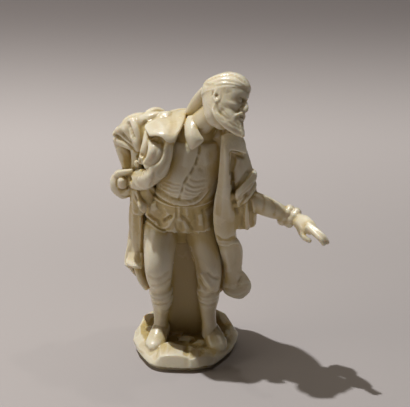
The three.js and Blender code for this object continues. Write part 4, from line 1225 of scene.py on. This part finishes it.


# The glaze: cream where it is thin, warm olive where thicker glaze lies in the hollows, which also paints the
# shade of the hollows; painted shade in creases and paler on edges. The olive share is how closed in the
# surface is, plus a band of painted shade and soft clouds, between two limits.
glazeLook = {
    "thin": (0.675, 0.59, 0.42, 1),
    # warm olive for thicker glaze in the hollows and for the shade painted there
    "thickAndShaded": (0.56, 0.43, 0.19, 1),
    # painted shade, with thicker glaze, in creases
    "creaseShade": (0.36, 0.26, 0.10, 1),
    "edgeTint": (0.78, 0.73, 0.60, 1),
    "closedFrom": 0.05,
    "closedTo": 0.42,
    "bandFrom": 0.064,  # painted shade in a soft band round the skirt of the doublet, in metres
    "bandTo": 0.110,
    "bandSoft": 0.014,
    "bandShade": 0.24,
    "bandEnd": 0.046,  # the painted shade fades out towards the left hand
    "cloudScale": 60,
    "cloudShare": 0.25,
    "cloudHeight": 2.0,
    "grainScale": 900,
    "creaseShare": 0.6,
    "creaseFrom": 0.12,
    "edgeFrom": 0.1,
    "edgeTo": 0.8,
    "roughness": 0.26,
    "roughnessSpread": 0.16,
    "bumpStrength": 0.35,
    "bumpHeight": 0.0004,
    "subsurface": 0.6,
    "subsurfaceRadius": (1.0, 0.8, 0.5),
    "subsurfaceDepth": 0.0035,
}


def glaze():
    material = bpy.data.materials.new("creamGlaze")
    material.use_nodes = True
    tree = material.node_tree
    shader = tree.nodes["Principled BSDF"]
    start = Wire(tree)
    place = start.node("TexCoord", {}, {}, "Object")
    clouds = start.node("TexNoise", {}, {"Vector": place, "Scale": glazeLook["cloudScale"], "Detail": 3.0})
    grain = start.node("TexNoise", {}, {"Vector": place, "Scale": glazeLook["grainScale"], "Detail": 2.0})
    closed = start.node("Attribute", {"attribute_name": "closed"}, {}, "Fac")
    crease = start.node("Attribute", {"attribute_name": "crease"}, {}, "Fac")
    across = start.node("SeparateXYZ", {}, {0: place}, "X")
    height = start.node("SeparateXYZ", {}, {0: place}, "Z")
    low, high, soft = (glazeLook[name] for name in ("bandFrom", "bandTo", "bandSoft"))
    # a band of painted shade round the skirt, under the doublet
    band = height.within(low, low + soft) * (1 - height.within(high - soft, high))
    band = band * (1 - across.within(glazeLook["bandEnd"], glazeLook["bandEnd"] + soft))
    # how far the colour turns olive: painted shade from the closed-in value and the band, with thicker glaze
    # and random clouds
    thickness = closed + glazeLook["bandShade"] * band + glazeLook["cloudShare"] * (clouds - 0.5)
    pooledAndShaded = thickness.within(glazeLook["closedFrom"], glazeLook["closedTo"])
    colour = pooledAndShaded.blend(glazeLook["thin"], glazeLook["thickAndShaded"])
    # painted shade darkens the creases
    inCrease = glazeLook["creaseShare"] * crease.within(glazeLook["creaseFrom"], 1.0)
    colour = inCrease.blend(colour, glazeLook["creaseShade"])
    onEdge = glazeLook["creaseShare"] * (0 - crease).within(glazeLook["edgeFrom"], glazeLook["edgeTo"])
    onEdge.blend(colour, glazeLook["edgeTint"]).into(shader, "Base Color")
    (glazeLook["roughness"] + glazeLook["roughnessSpread"] * (clouds - 0.5)).into(shader, "Roughness")
    uneven = {
        "Height": grain + glazeLook["cloudHeight"] * clouds,
        "Strength": glazeLook["bumpStrength"],
        "Distance": glazeLook["bumpHeight"],
    }
    start.node("Bump", {}, uneven, "Normal").into(shader, "Normal")
    shader.inputs["Subsurface Weight"].default_value = glazeLook["subsurface"]
    shader.inputs["Subsurface Radius"].default_value = glazeLook["subsurfaceRadius"]
    shader.inputs["Subsurface Scale"].default_value = glazeLook["subsurfaceDepth"]
    return material


figure.data.materials.clear()
figure.data.materials.append(glaze())
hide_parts("figure")
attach(figure, "root")
print("glazed")

# Floor, light and camera. The paper's colour carries painted light falloff: lighter in a middle band, painted
# shade near the front, and darker at the back and to the right.
stage = {
    "floorSize": 6.0,
    "floorNearShade": (0.428, 0.39, 0.377, 1),
    "floorMiddleLight": (0.492, 0.448, 0.432, 1),
    "floorBackShade": (0.165, 0.143, 0.136, 1),
    "middleFrom": 0.10,
    "middleTo": 0.30,
    "darkFrom": 0.27,
    "darkTo": 0.53,
    "rightShade": 0.55,
    "shadeStart": 0.1,
    "roughness": 0.9,
}


def floor():  # a flat square of pale paper
    half = stage["floorSize"] / 2
    corners = np.array([[-half, -half, 0], [half, -half, 0], [half, half, 0], [-half, half, 0]])
    obj = bpy.data.objects.new("floor", meshFrom("floor", corners, np.array([[0, 1, 2, 3]])))
    scene.collection.objects.link(obj)
    material = bpy.data.materials.new("paper")
    material.use_nodes = True
    tree = material.node_tree
    shader = tree.nodes["Principled BSDF"]
    shader.inputs["Roughness"].default_value = stage["roughness"]
    start = Wire(tree)
    place = start.node("TexCoord", {}, {}, "Object")
    across = start.node("SeparateXYZ", {}, {0: place}, "X")
    away = start.node("SeparateXYZ", {}, {0: place}, "Y")
    # painted light falloff: darker near the front, lighter in the middle, painted shade at the back
    nearby = away.within(stage["middleFrom"], stage["middleTo"])
    colour = nearby.blend(stage["floorNearShade"], stage["floorMiddleLight"])
    colour = away.within(stage["darkFrom"], stage["darkTo"]).blend(colour, stage["floorBackShade"])
    # painted shade towards the right
    shade = stage["rightShade"] * (across + stage["shadeStart"])
    shade.blend(colour, (0, 0, 0, 1)).into(shader, "Base Color")
    obj.data.materials.append(material)


lights = {
    "key": {"at": (-1.0, 0.25, 3.3), "size": 0.07, "power": 104, "colour": (0.97, 0.985, 1)},
    "second": {"at": (0.52, 0.12, 1.4), "size": 0.05, "power": 1.2, "colour": (1, 0.96, 0.9)},
    "overhead": {"at": (-0.1, 0.35, 1.7), "size": 1.5, "power": 5.2, "colour": (1, 0.88, 0.74)},
    "window": {"at": (-1.4, -0.2, 0.6), "size": 1.0, "power": 4.8, "colour": (1, 0.93, 0.8)},
}


def lamp(name, at, size, power, colour):  # a round soft light that faces the figure
    data = bpy.data.lights.new(name, "AREA")
    data.shape = "DISK"
    data.size = size
    data.energy = power
    data.color = colour
    obj = bpy.data.objects.new(name, data)
    obj.location = at
    aim = Vector(view["lampTarget"]) - obj.location
    obj.rotation_euler = aim.to_track_quat("-Z", "Y").to_euler()
    scene.collection.objects.link(obj)


view = {
    "target": (0.01056, 0, 0.0904),
    "lampTarget": (0, 0, 0.08),
    "distance": 2.5,
    "imageWidth": 410,
    "sensorWidth": 36,
    "farthest": 20,
}
room = {"colour": (1, 0.88, 0.74, 1), "strength": 0.036}


def camera():  # looks down at the photograph's angle, so far away that sizes hardly change with depth
    data = bpy.data.cameras.new("camera")
    data.sensor_width = view["sensorWidth"]
    imageBreadth = view["imageWidth"] / (1000 * photo["pixelsPerMm"])  # in metres, where the figure stands
    data.lens = view["sensorWidth"] * view["distance"] / imageBreadth
    data.clip_end = view["farthest"]
    obj = bpy.data.objects.new("camera", data)
    away = Vector((0, -cos(lookUp), sin(lookUp))) * view["distance"]
    obj.location = Vector(view["target"]) + away
    obj.rotation_euler = (-away).to_track_quat("-Z", "Y").to_euler()
    scene.collection.objects.link(obj)
    scene.camera = obj


floor()
for name, settings in lights.items():
    lamp(name, **settings)
camera()
world = bpy.data.worlds.new("studio")
world.use_nodes = True
world.node_tree.nodes["Background"].inputs["Color"].default_value = room["colour"]
world.node_tree.nodes["Background"].inputs["Strength"].default_value = room["strength"]
scene.world = world
scene.view_settings.view_transform = "Standard"
print("stage set")
